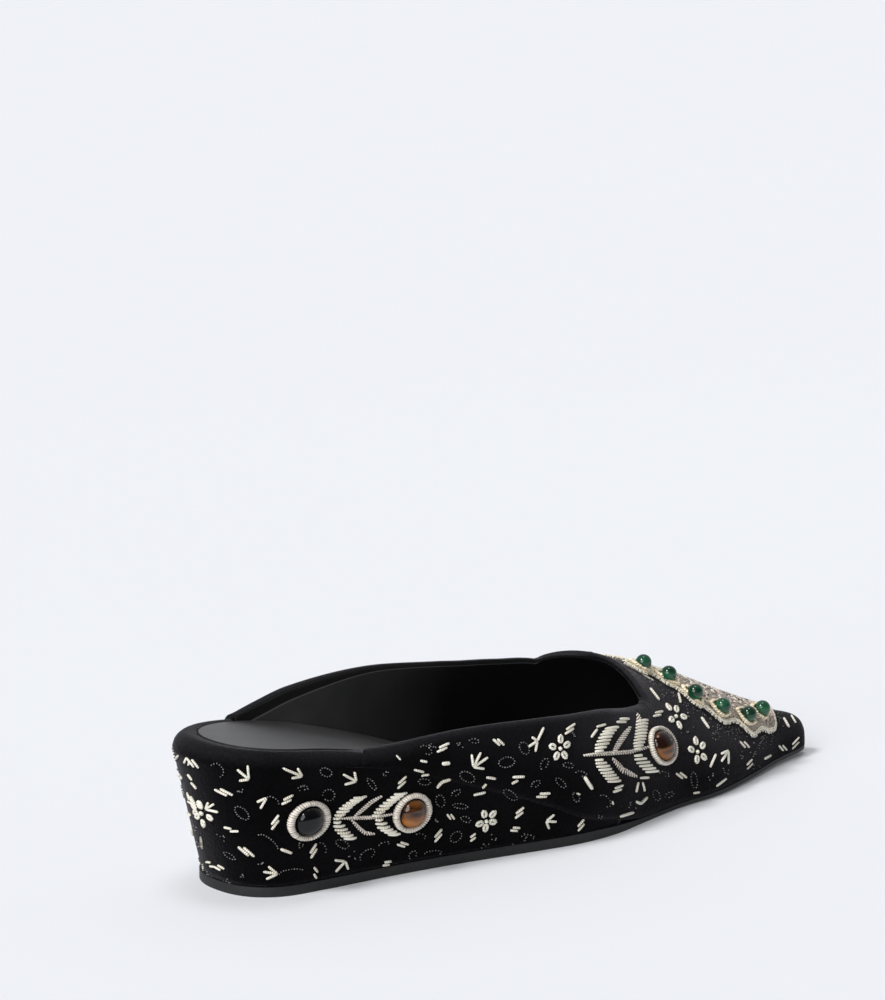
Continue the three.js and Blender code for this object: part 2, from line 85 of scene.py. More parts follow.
ROLL_TOP = 0.6
ROLL_FULLNESS = 1.7
ROLL_DROP = 0.08
BACK_LEAN = 11.5
SIDE_LEAN = 5
LEAN_END = (60, 180)
SOLE_LIP = 0.6
WEDGE_END = 152
TREAD_END = 159
TOE_SPRING = 2
SPRING_CURVE = 1.5
PANEL = 1
PANEL_LIFT = 0.45
PANEL_SKEW = 1.3
PANEL_LEAN = 0.5
NOTCH = 10
NOTCH_CURVE = 1.5
BEAD = 5.4
STONE_HIGH = 3.8
GIRDLE = 0.6
RING_HIGH = 1.6
SEAM_DEEP = 0.6
SEAM_WIDE = 2.3
SEAM_FADE = (75, 125)
FACING = (4.5, 1.7)
FACING_FADE = (45, 115)
BACK_LEAN_END = 60
SOLE_BEVEL = 0.4
FOOTBED_BEVEL = 0.9


def table(columns, *rows):
    """Rows of numbers under named columns."""
    return [*map(namedtuple("Row", columns)._make, rows)]


# Cross-sections of the last: height of the wedge, of the crest and of both sides of the collar above it
SECTIONS = table(
    "x centre half wedge crest outer inner bulge",
    (0, -2.5, 24.8, 42.2, 92, 4, 5, 0),
    (30, 0, 26.8, 38.4, 90, 3.6, 5, 0),
    (42, 0.3, 28, 36.6, 87, 3.2, 7.5, 0.2),
    (60, 0, 28.7, 32.7, 83, 6.2, 15.2, 0.4),
    (90, -1.5, 29.7, 23.1, 76, 17.2, 26.3, 0.8),
    (120, -1.9, 32.7, 11.4, 70, 27.5, 34.6, 1.2),
    (135, -0.2, 35.2, 4.6, 66, 32.9, 38.9, 1.5),
    (150, 2.8, 36.2, 1.8, 60.6, 34.4, 39.9, 1.6),
    (166, 7.2, 35.7, 0, 51.1, 33.3, 40.2, 1.6),
    (185, 9.5, 33, 0, 41.1, 30.2, 32.9, 1.3),
    (205, 7.4, 28, 0, 32.8, 22.7, 22.7, 1),
    (225, 5.6, 19.2, 0, 23, 15.9, 15.9, 0.7),
    (243, 4.2, 10.2, 0, 14.9, 11.4, 11.4, 0.4),
    (255, 3.1, 5.5, 0, 11.2, 8.4, 8.4, 0.2),
    (259.5, 2.7, 4.2, 0, 8.4, 6.6, 6.6, 0.1),
    (262, 2.5, 3.4, 0, 4.6, 3.7, 3.7, 0),
)
# Lobed edge of the embroidered panel, as a share of the way from the crest down to the sole
BORDER = table(
    "x reach",
    (181.5, 0.28), (187.5, 0.365), (191, 0.335), (195, 0.455), (198, 0.495), (202, 0.645), (206, 0.665),
    (212, 0.77), (221, 0.755), (227, 0.86), (234, 0.81), (239, 0.83), (244, 0.74), (246.5, 0.37),
)
# Bead pairs, across the panel in the same share
BEADS = table(
    "x across",
    (187.3, 0.30), (195.5, 0.40), (201.8, 0.58), (212.3, 0.67), (225.8, 0.70), (236.5, 0.56),
)
# Oval stones on both sides of the shoe, with the length and breadth of stone and ring
STONES = table(
    "name wall look x share stone ring",
    ("heel", "wedge", "black", 27, 0.54, (9.8, 9.5), (16, 13.4)),
    ("wedge", "wedge", "brown", 69, 0.57, (9, 9.5), (14.6, 13.6)),
    ("vamp", "vamp", "brown", 176.4, 0.90, (11, 9.5), (15.8, 13.2)),
)
SIDES = {"outer": -1, "inner": 1}

# The photo's view: image size in pixels, lens in millimetres, target in the shoe's own millimetres
PHOTO_SIZE = (885, 1000)
SENSOR = 36
LENS = 275.8
AZIMUTH = math.radians(-38.849)
ELEVATION = math.radians(13.563)
CAMERA_DISTANCE = 2100
TARGET = np.array([62.816, -50.593, 127.612])
MM = 0.001
UPWARD = np.array([0, 0, 1])
STEP = 0.001
MERGE = 0.001


def unit(vectors):
    """The same directions with a length of one."""
    return vectors / (np.linalg.norm(vectors, axis=-1, keepdims=True) + 1e-9)


def turned_to(normal, way):
    """The normal, turned to the side that way points to."""
    return normal if normal @ way > 0 else -normal


def arrays(*values):
    return np.broadcast_arrays(*(np.asarray(value, float) for value in values))


def slopes(surface, u, v):
    """How a surface of two parameters runs along each of them."""
    along = surface(u + STEP, v) - surface(u - STEP, v)
    over = surface(u, v + STEP) - surface(u, v - STEP)
    return along / (2 * STEP), over / (2 * STEP)


def smooth_column(rows, name):
    """A smooth curve through one column of a table."""
    x = np.array([row.x for row in rows], float)
    y = np.array([getattr(row, name) for row in rows], float)
    before = np.maximum(np.arange(len(x)) - 1, 0)
    after = np.minimum(np.arange(len(x)) + 1, len(x) - 1)
    slope = (y[after] - y[before]) / (x[after] - x[before])

    def curve(at):
        i = np.clip(np.searchsorted(x, at) - 1, 0, len(x) - 2)
        span = x[i + 1] - x[i]
        t = np.clip((at - x[i]) / span, 0, 1)
        ease = t * t * (3 - 2 * t)
        bend = t * (1 - t) ** 2 * slope[i] + t * t * (t - 1) * slope[i + 1]
        return y[i] * (1 - ease) + y[i + 1] * ease + bend * span

    return curve


def fade(at, ends):
    """0 before the first end, 1 after the second, smooth between."""
    t = np.clip((at - ends[0]) / (ends[1] - ends[0]), 0, 1)
    return t * t * (3 - 2 * t)


def between(first, last, ends):
    """A measure that passes from first to last between two places along the shoe."""
    return lambda x: first + (last - first) * fade(x, ends)


centre_at, plain_half_at, wedge_at, crest_at, outer_at, inner_at, bulge_at = (
    smooth_column(SECTIONS, name) for name in SECTIONS[0]._fields[1:]
)
reach_at = smooth_column(BORDER, "reach")
sole_at = between(SOLE, SOLE_FRONT, SOLE_THIN)
lip_at = between(SOLE_LIP, 0, SOLE_THIN)
lean_at = between(SIDE_LEAN, 0, LEAN_END)
wall_at = between(RIM, WALL, WALL_END)
rim_at = between(FOOTBED + GAP, 0, RIM_FADE)
seam_at = between(0, SEAM_DEEP, SEAM_FADE)
roll_at = between(ROLL_DEEP, ROLL_SHALLOW, ROLL_FADE)
facing_at = between(*FACING, FACING_FADE)
tail_low_at = between(TAIL_LOW, 0, TAIL_FADE)
tail_inset_at = between(TAIL_SUNK, TAIL_SUNK - TAIL_PROUD, TAIL_FADE)


def floor_at(x):
    return TOE_SPRING * np.clip((x - TREAD_END) / (LENGTH - TREAD_END), 0, None) ** SPRING_CURVE


def feather_at(x):
    return floor_at(x) + sole_at(x) + GAP + np.maximum(0, wedge_at(x))


def half_at(x, inset=0.0, heel_inset=None):
    """Half width of the last, taken in by inset, with its round heel and toe."""
    heel_inset = inset if heel_inset is None else heel_inset
    back = np.clip(1 - (x - heel_inset) / (HEEL_ROUND - heel_inset), 0, 1)
    heel = (1 - back ** HEEL_FULLNESS) ** (1 / HEEL_FULLNESS)
    tip = LENGTH - TOE_INSET * inset
    front = np.clip((x - tip + TOE_ROUND) / TOE_ROUND, 0, 1)
    return np.maximum(0, plain_half_at(x) - inset) * heel * np.sqrt(1 - front * front)


def corner_at(x):
    """How far the outer collar turns up into the throat."""
    t = np.clip(1 - (THROAT - x) / CORNER, 0, 1)
    return np.where(x > THROAT, 1 - fade(x, (THROAT, THROAT + RISE_FADE)), 1 - np.sqrt(1 - t * t))


def shoulder_at(x, outer, crest):
    high = np.where(outer, outer_at(x) + CORNER_RISE * corner_at(x), inner_at(x))
    return np.minimum(high, SHOULDER_MOST * crest)


def seam_tuck(x, away):
    """How far the velvet is drawn in, that far from the seam along the feather edge."""
    return seam_at(x) * np.exp(-((away / SEAM_WIDE) ** 2))


def across_point(x, across, inset=0.0):
    """A point of the upper, from the outer feather edge (-1) over the crest (0) to the inner one (1)."""
    x, across = arrays(x, across)
    crest = crest_at(x) - inset
    height = crest * np.sqrt(np.maximum(0, 1 - np.abs(across) ** CROWN))
    rise = np.minimum(1, height / shoulder_at(x, across < 0, crest))
    half = half_at(x, inset)
    swell = bulge_at(x) * np.sin(np.pi * rise) - seam_tuck(x, height)
    y = centre_at(x) + across * half + np.sign(across) * swell * np.minimum(1, half / SWELL_FULL)
    return np.stack([x, y, feather_at(x) + GAP + height], -1)


def vamp_point(x, across, lift=0.0):
    """A point of the upper's outside, lifted off it."""
    normal = unit(np.cross(*slopes(across_point, x, across)))
    return across_point(x, across) + lift * normal * np.where(normal[..., 2:] < 0, -1, 1)


def under_x(x):
    """Where the heel's back stands at the sole: it leans in."""
    return x + BACK_LEAN * np.maximum(0, 1 - x / BACK_LEAN_END)


def wedge_point(x, share, side):
    """A point of the wedge's wall, from the sole (0) up to the feather edge (1)."""
    x, share, side = arrays(x, share, side)
    under = under_x(x)
    foot_y = centre_at(under) + side * half_at(under, lean_at(under), BACK_LEAN)
    foot = np.stack([under, foot_y, sole_at(under) + GAP], -1)
    top = np.stack([x, centre_at(x) + side * half_at(x), feather_at(x)], -1)
    point = foot + (top - foot) * share[..., None]
    point[..., 1] -= side * seam_tuck(x, (1 - share) * (top - foot)[..., 2])
    return point


# Where the shoe's own millimetres lie in the frame: the sole's tip gives the shift
sole_tip = max((v.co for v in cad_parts["outsole"].data.vertices), key=lambda co: co.x)
SHIFT = np.array([LENGTH - sole_tip.x / MM, centre_at(LENGTH) - sole_tip.y / MM, 0])
TO_FRAME = Matrix.Scale(MM, 4) @ Matrix.Translation(Vector(-SHIFT))


def shaped_grid(columns, rows, shape, bm=None):
    """A grid of quads with each vertex moved to shape(column, row)."""
    bm = bm or bmesh.new()
    made = bmesh.ops.create_grid(bm, x_segments=columns, y_segments=rows, size=0.5)["verts"]
    flat = np.array([v.co[:2] for v in made]) + 0.5
    column = np.rint(flat[:, 0] * columns).astype(int)
    row = np.rint(flat[:, 1] * rows).astype(int)
    for vert, point in zip(made, shape(column, row)):
        vert.co = point
    return bm, made, column, row


def finish_piece(bm, name, materials, slot, replaced=()):
    """A mesh in the shoe's millimetres becomes a piece of the object."""
    bmesh.ops.transform(bm, matrix=TO_FRAME, verts=bm.verts)
    bmesh.ops.recalc_face_normals(bm, faces=bm.faces)
    mesh = bpy.data.meshes.new(name)
    bm.to_mesh(mesh)
    bm.free()
    return place_piece(mesh, name, materials, slot, replaced)


def place_piece(mesh, name, materials, slot, replaced=()):
    mesh.polygons.foreach_set("use_smooth", [True] * len(mesh.polygons))
    for material in materials:
        mesh.materials.append(material)
    piece = bpy.data.objects.new(name, mesh)
    bpy.context.scene.collection.objects.link(piece)
    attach(piece, "root")
    if replaced:
        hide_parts(*replaced)
    return piece


def steps(start, end, count, ease=lambda t: t):
    """Places from start up to, but without, the end."""
    return start + (end - start) * ease(np.arange(count) / count)


def ease_in(t):
    return 1 - np.cos(t * np.pi / 2)


def ease_out(t):
    return np.sin(t * np.pi / 2)


# Materials
class Shader:
    """A material's node tree with short ways to add and join nodes."""

    def __init__(self, name, tree=None):
        if tree is None:
            self.material = bpy.data.materials.new(name)
            self.material.use_nodes = True
            tree = self.material.node_tree
            self.surface = tree.nodes["Principled BSDF"]
        self.tree = tree

    def node(self, kind, settings=(), **inputs):
        node = self.tree.nodes.new("ShaderNode" + kind)
        for key, value in dict(settings).items():
            setattr(node, key, value)
        self.feed(node, **inputs)
        return node

    def feed(self, node, **inputs):
        for key, value in inputs.items():
            socket = node.inputs[int(key[1:])] if key[1:].isdigit() else node.inputs[key.replace("_", " ")]
            if isinstance(value, bpy.types.NodeSocket):
                self.tree.links.new(value, socket)
            else:
                socket.default_value = value

    def group(self, tree, **inputs):
        node = self.tree.nodes.new("ShaderNodeGroup")
        node.node_tree = tree
        self.feed(node, **inputs)
        return node

    def finish(self, **inputs):
        self.feed(self.surface, **inputs)
        return self.material

    def math(self, operation, *values):
        node = self.node("Math", {"operation": operation}, **{f"i{i}": v for i, v in enumerate(values)})
        return node.outputs[0]

    def weigh(self, first, share, second, other):
        return self.math("MULTIPLY_ADD", first, share, self.math("MULTIPLY", second, other))

    def mix(self, factor, first, second):
        node = self.node("Mix", {"data_type": "RGBA"}, i0=factor, i6=first, i7=second)
        return node.outputs[2]

    def ramp(self, value, *stops):
        node = self.node("ValToRGB", Fac=value)
        while len(node.color_ramp.elements) < len(stops):
            node.color_ramp.elements.new(0.5)
        for element, (place, shade) in zip(node.color_ramp.elements, stops):
            element.position = place
            element.color = (*shade, 1)
        return node.outputs[0]

    def place(self, kind="Object"):
        return self.node("TexCoord").outputs[kind]

    def part(self, axis, kind="Object"):
        """One coordinate of the place, or of the normal, on the object."""
        return self.node("SeparateXYZ", Vector=self.place(kind)).outputs[axis]

    def spread(self, value, first, last, low=0.0, high=1.0):
        node = self.node("MapRange", Value=value, From_Min=first, From_Max=last, To_Min=low, To_Max=high)
        return node.outputs[0]

    def noise(self, scale, detail=2.0, vector=None, rough=0.5):
        vector = vector or self.place()
        node = self.node("TexNoise", Vector=vector, Scale=scale, Detail=detail, Roughness=rough)
        return node.outputs[0]

    def bump(self, height, strength, distance):
        node = self.node("Bump", Height=height, Strength=strength, Distance=distance)
        return node.outputs[0]

    def attribute(self, name):
        return self.node("Attribute", {"attribute_name": name}).outputs["Fac"]


def shader_group(name, given, results):
    """A node group that takes and gives plain values."""
    tree = bpy.data.node_groups.new(name, "ShaderNodeTree")
    for in_out, sockets in (("INPUT", given), ("OUTPUT", results)):
        for socket in sockets:
            tree.interface.new_socket(socket, in_out=in_out, socket_type="NodeSocketFloat")
    return Shader(name, tree), tree.nodes.new("NodeGroupInput").outputs, tree.nodes.new("NodeGroupOutput")


def leather_grain_group():
    """Fine pebbled grain with broad soft unevenness."""
    shader, given, result = shader_group("leather_grain", ["Pebble scale"], ["Height", "Unevenness"])
    pebbles = shader.node("TexVoronoi", Vector=shader.place(), Scale=given["Pebble scale"])
    shader.feed(result, Height=pebbles.outputs["Distance"], Unevenness=shader.noise(60.0, 3.0))
    return shader.tree


def thread_group():
    """Turns of a wound or laid thread along its length, with a tone of its own."""
    shader, given, result = shader_group("thread_turns", ["Turns per mm"], ["Turns", "Tone"])
    angle = shader.math("MULTIPLY", shader.attribute("along"), given["Turns per mm"])
    wave = shader.math("SINE", shader.math("MULTIPLY", angle, 2 * math.pi))
    turns = shader.math("MULTIPLY_ADD", wave, 0.5, 0.5)
    shader.feed(result, Turns=turns, Tone=shader.attribute("tone"))
    return shader.tree


LEATHER_GRAIN = leather_grain_group()
THREAD_TURNS = thread_group()
# Places along the shoe, in metres: the painted top light on the velvet grows towards the front, and the
# lining's painted shade deepens from the heel towards the toe
VELVET_TOP_LIGHT_SPAN = (-0.06, 0.06)
LINING_SHADE_SPAN = (-0.075, 0.0)


def velvet_material():
    """Short dense nap: black, with fine lighter hairs and soft brushed patches; up-facing parts get a paler
    painted top light, weaker towards the heel.
    """
    shader = Shader("black_velvet")
    lay = shader.noise(45.0, 3.0)
    nap = shader.noise(1100.0, 3.0, rough=0.7)
    brushed = shader.weigh(nap, 0.6, lay, 0.4)
    deep = shader.ramp(brushed, (0.38, (0.0006, 0.0006, 0.0008)), (0.62, (0.0026, 0.0024, 0.0030)))
    pale = shader.ramp(brushed, (0.38, (0.0155, 0.0147, 0.0163)), (0.62, (0.0300, 0.0284, 0.0316)))
    # painted top light: up-facing velvet is mixed towards the paler colour, less so towards the heel
    painted_top_light = shader.spread(shader.part("Z", "Normal"), 0.0, 0.7)
    top_light_front = shader.spread(shader.part("X"), *VELVET_TOP_LIGHT_SPAN, 0.35, 1.0)
    return shader.finish(
        Base_Color=shader.mix(shader.math("MULTIPLY", painted_top_light, top_light_front), deep, pale), Roughness=0.95,
        Normal=shader.bump(shader.weigh(nap, 0.5, lay, 1.0), 0.6, 0.001), Specular_IOR_Level=0.05,
        Sheen_Weight=0.2, Sheen_Roughness=0.35, Sheen_Tint=(0.8, 0.77, 0.85, 1),
    )


def footbed_material():
    shader = Shader("black_footbed_leather")
    grain = shader.group(LEATHER_GRAIN, Pebble_scale=1100.0).outputs
    uneven = grain["Unevenness"]
    return shader.finish(
        Base_Color=shader.ramp(uneven, (0.35, (0.029, 0.029, 0.030)), (0.7, (0.041, 0.041, 0.043))),
        Roughness=shader.math("MULTIPLY_ADD", uneven, 0.16, 0.3),
        Normal=shader.bump(grain["Height"], 0.12, 0.0004),
    )


def lining_material():
    """Leather lining under a turned-in velvet facing along the collar."""
    shader = Shader("collar_facing_and_lining")
    grain = shader.group(LEATHER_GRAIN, Pebble_scale=800.0).outputs
    depth = shader.attribute("below_edge")
    is_leather = shader.spread(depth, 0.95, 1.05)
    cut_edge = shader.math("ABSOLUTE", shader.math("SUBTRACT", depth, 1.0))
    edge_light = shader.ramp(cut_edge, (0.0, (1, 1, 1)), (0.1, (0, 0, 0)))
    facing = shader.ramp(shader.noise(1500.0), (0.3, (0.002, 0.002, 0.0025)), (0.7, (0.007, 0.007, 0.008)))
    leather = shader.ramp(grain["Unevenness"], (0.35, (0.062, 0.063, 0.063)), (0.7, (0.088, 0.089, 0.089)))
    # painted shade: the lining leather darkens to near black from the heel towards the toe
    shaded = shader.spread(shader.part("X"), *LINING_SHADE_SPAN)
    leather = shader.mix(shaded, leather, (0.004, 0.004, 0.0045, 1))
    colour = shader.mix(is_leather, facing, leather)
    return shader.finish(
        Base_Color=shader.mix(edge_light, colour, (0.14, 0.14, 0.15, 1)),
        Roughness=shader.spread(is_leather, 0.0, 1.0, 0.9, 0.5),
        Normal=shader.bump(shader.weigh(is_leather, 1.0, grain["Height"], 0.12), 0.5, 0.0005),
    )


def grained_material(name, scale, dark, pale, rough, strength, deep):
    """One fine grain in two tones."""
    shader = Shader(name)
    grain = shader.noise(scale, 3.0)
    return shader.finish(
        Base_Color=shader.ramp(grain, dark, pale), Roughness=rough, Normal=shader.bump(grain, strength, deep),
    )


def stone_material(name, dark, light, scale, rough, gloss=0.5):
    """Polished stone with streaks along the shoe; light that went through it shows in its lower half."""
    shader = Shader(name)
    drawn = shader.node("Mapping", Vector=shader.place(), Scale=(0.35, 0.35, 1.5)).outputs[0]
    streaks = shader.noise(scale, 3.0, drawn)
    lit = shader.spread(shader.part("Z", "Normal"), 0.5, -0.5, -0.1, 0.12)
    return shader.finish(
        Base_Color=shader.ramp(shader.math("ADD", streaks, lit), (0.4, dark), (0.68, light)),
        Roughness=shader.math("MULTIPLY_ADD", streaks, 0.05, rough), Specular_IOR_Level=gloss,
    )


def thread_material(name, dark, pale, turns, rough, metal, deep=0.00012):
    shader = Shader(name)
    thread = shader.group(THREAD_TURNS, Turns_per_mm=turns).outputs
    # the turns darken the grooves between them as painted shade; the tone is the thread's own, varying from
    # stroke to stroke
    shade = shader.weigh(thread["Turns"], 0.5, thread["Tone"], 0.5)
    return shader.finish(
        Base_Color=shader.ramp(shade, (0.0, dark), (0.5, pale)), Roughness=rough, Metallic=metal,
        Normal=shader.bump(thread["Turns"], 0.7, deep),
    )


def chip_material():
    """Cut metal thread: silver grey, rosy and cream chips."""
    shader = Shader("metal_thread_chips")
    thread = shader.group(THREAD_TURNS, Turns_per_mm=2.2).outputs
    colour = shader.ramp(
        thread["Tone"], (0.0, (0.10, 0.08, 0.07)), (0.25, (0.55, 0.50, 0.46)), (0.55, (0.86, 0.70, 0.62)),
        (0.85, (1.0, 0.95, 0.82)),
    )
    return shader.finish(
        Base_Color=colour, Roughness=shader.math("MULTIPLY_ADD", thread["Turns"], 0.15, 0.3), Metallic=0.15,
        Normal=shader.bump(thread["Turns"], 0.6, 0.0001),
    )


def ring_material():
    """Padded ring in fine radial stitches."""
    shader = Shader("ring_thread")
    grain = shader.noise(1500.0, 2.0)
    # the stitch value is dark on the dipped stitches as painted shade in the grooves, and a random pale tone
    # on the raised ones
    shade = shader.weigh(shader.attribute("stitch"), 0.6, grain, 0.5)
    return shader.finish(
        Base_Color=shader.ramp(shade, (0.2, (0.28, 0.19, 0.12)), (0.65, (1.0, 0.94, 0.84))), Roughness=0.55,
        Normal=shader.bump(grain, 0.5, 0.0003),
    )


VELVET = velvet_material()
FOOTBED_LEATHER = footbed_material()
LINING = lining_material()
SOLE_RUBBER = grained_material(
    "sole_rubber", 700.0, (0.35, (0.0065, 0.0067, 0.0072)), (0.7, (0.0105, 0.0108, 0.0115)), 0.6, 0.2, 0.0003,
)
# Couched ground under the metal thread
PANEL_GROUND = grained_material(
    "panel_ground", 1400.0, (0.35, (0.16, 0.13, 0.11)), (0.65, (0.68, 0.59, 0.50)), 0.55, 0.6, 0.0004,
)
GREEN_STONE = stone_material("green_stone", (0.004, 0.034, 0.016), (0.022, 0.125, 0.058), 200.0, 0.09)
BROWN_STONE = stone_material("brown_stone", (0.016, 0.005, 0.003), (0.38, 0.135, 0.022), 150.0, 0.05)
BLACK_STONE = stone_material("black_stone", (0.002, 0.002, 0.0025), (0.006, 0.006, 0.007), 300.0, 0.06, 0.32)
SEED_BEADS = stone_material("dark_seed_beads", (0.03, 0.029, 0.028), (0.34, 0.33, 0.32), 2500.0, 0.12)
PURL = thread_material("pale_gold_purl", (0.40, 0.30, 0.14), (1.0, 0.965, 0.845), 1.4, 0.28, 0.05, 0.0003)
GOLD_CORD = thread_material("gold_cord", (0.40, 0.24, 0.08), (1.0, 0.89, 0.66), 1.1, 0.32, 0.05, 0.0003)
CREAM_THREAD = thread_material("cream_thread", (0.42, 0.32, 0.16), (1.0, 0.965, 0.845), 1.1, 0.36, 0.0)
ROSE_THREAD = thread_material("rose_thread", (0.30, 0.24, 0.19), (0.86, 0.79, 0.71), 0.9, 0.55, 0.0)
CHIP_THREADS = chip_material()
RING_THREAD = ring_material()

# Wedge: a wall round the heel from the sole up, then the rounded rim round the seat
WEDGE_SIDE = 110
WEDGE_FRONT = 6
WALL_ROWS = 26
RIM_ROWS = 12


def wedge_perimeter():
    """(x, side) round the wedge from the middle of its front edge over the outer side and the heel."""
    back = WEDGE_END - steps(0, WEDGE_END, WEDGE_SIDE, ease_out)
    front = steps(0, 1, WEDGE_FRONT)
    edge = np.full(WEDGE_FRONT, WEDGE_END)
    x = np.concatenate([edge, back, [0], back[::-1], edge])
    side = np.concatenate([-front, -np.ones(WEDGE_SIDE), [0], np.ones(WEDGE_SIDE), front[::-1]])
    return x, side


def roll_profile(share):
    """Height of a rolled edge over its width, both as shares."""
    up = 1 - np.clip(1 - share / ROLL_TOP, 0, 1) ** ROLL_FULLNESS
    down = ROLL_DROP * np.clip((share - ROLL_TOP) / (1 - ROLL_TOP), 0, 1) ** 2
    return up ** (1 / ROLL_FULLNESS) - down


def rim_point(x, share, side, rise):
    """A point of the rim round the heel seat, share across its width."""
    inset = share * RIM * RIM_SHARE
    back_inset = share * RIM_BACK * RIM_SHARE
    inner_x = x + back_inset * np.maximum(0, 1 - x / HEEL_ROUND)
    y = centre_at(inner_x) + side * half_at(inner_x, inset, back_inset)
    return np.stack([inner_x, y, feather_at(inner_x) + rim_at(x) * rise], -1)


def build_wedge():
    x, side = wedge_perimeter()

    def shape(column, row):
        wall = wedge_point(x[column], np.minimum(row / WALL_ROWS, 1), side[column])
        share = np.clip((row - WALL_ROWS) / RIM_ROWS, 0, 1)
        rise = np.where(row > WALL_ROWS + RIM_ROWS, 0, roll_profile(share))
        rim = rim_point(x[column], share, side[column], rise)
        return np.where((row <= WALL_ROWS)[:, None], wall, rim)

    bm = shaped_grid(len(x) - 1, WALL_ROWS + RIM_ROWS + 1, shape)[0]
    bmesh.ops.remove_doubles(bm, verts=bm.verts, dist=MERGE)
    bmesh.ops.holes_fill(bm, edges=[e for e in bm.edges if e.is_boundary], sides=0)
    return bm


# Upper: the velvet outside and the lining are two grids, joined over a rolled edge
QUARTER_STEPS = 68
CORNER_STEPS = 12
VAMP_STEPS = 64
TOE_STEPS = 14
THROAT_COLUMN = QUARTER_STEPS + CORNER_STEPS
SIDE_ROWS = 16
TOP_ROWS = 40
UPPER_ROWS = SIDE_ROWS + TOP_ROWS + SIDE_ROWS
ROLL_CUTS = 8


def upper_stations(throat, tip):
    return np.concatenate([
        steps(UPPER_TAIL, THROAT - CORNER, QUARTER_STEPS),
        steps(THROAT - CORNER, throat, CORNER_STEPS, ease_out),
        steps(throat, tip - TOE_ROUND, VAMP_STEPS),
        steps(tip - TOE_ROUND, tip, TOE_STEPS, ease_out),
        [tip],
    ])


def inward_at(row):
    """How far a row of the throat lies towards its inner end: 0 up to the middle, 1 at the end."""
    return np.clip(2 * (row - SIDE_ROWS) / TOP_ROWS - 1, 0, 1)


def swept(stations, column, row):
    """Stations of one row: the throat runs back towards its inner end."""
    x, throat, tip = stations[column], stations[THROAT_COLUMN], stations[-1]
    sweep = SWEEP * inward_at(row) ** SWEEP_CURVE
    behind = x - sweep * (x - UPPER_TAIL) / (throat - UPPER_TAIL)
    before = x - sweep * (tip - x) / (tip - throat)
    return np.where(x <= throat, behind, before), THROAT - sweep


def edge_height(x, outer, crest):
    """Top of the rolled collar above the feather edge."""
    return shoulder_at(x, outer, crest) + EDGE_ROLL - tail_low_at(x)


def across_at(height, crest):
    return (1 - np.clip(height / crest, 0, 1) ** 2) ** (1 / CROWN)


def shell_across(x, row, inset, drop):
    """How far across a row of the shell lies, its collar's edge dropped below the rolled top."""
    crest = crest_at(x) - inset
    outer_edge, inner_edge = (
        np.minimum(edge_height(x, outer, crest) - drop, SHOULDER_MOST * crest) for outer in (True, False)
    )
    from_outer = np.clip(row / SIDE_ROWS, 0, 1)
    from_inner = np.clip((UPPER_ROWS - row) / SIDE_ROWS, 0, 1)
    low = -across_at(outer_edge * from_outer, crest)
    high = across_at(inner_edge * from_inner, crest)
    over = np.clip((row - SIDE_ROWS) / TOP_ROWS, 0, 1)
    return low + (high - low) * over


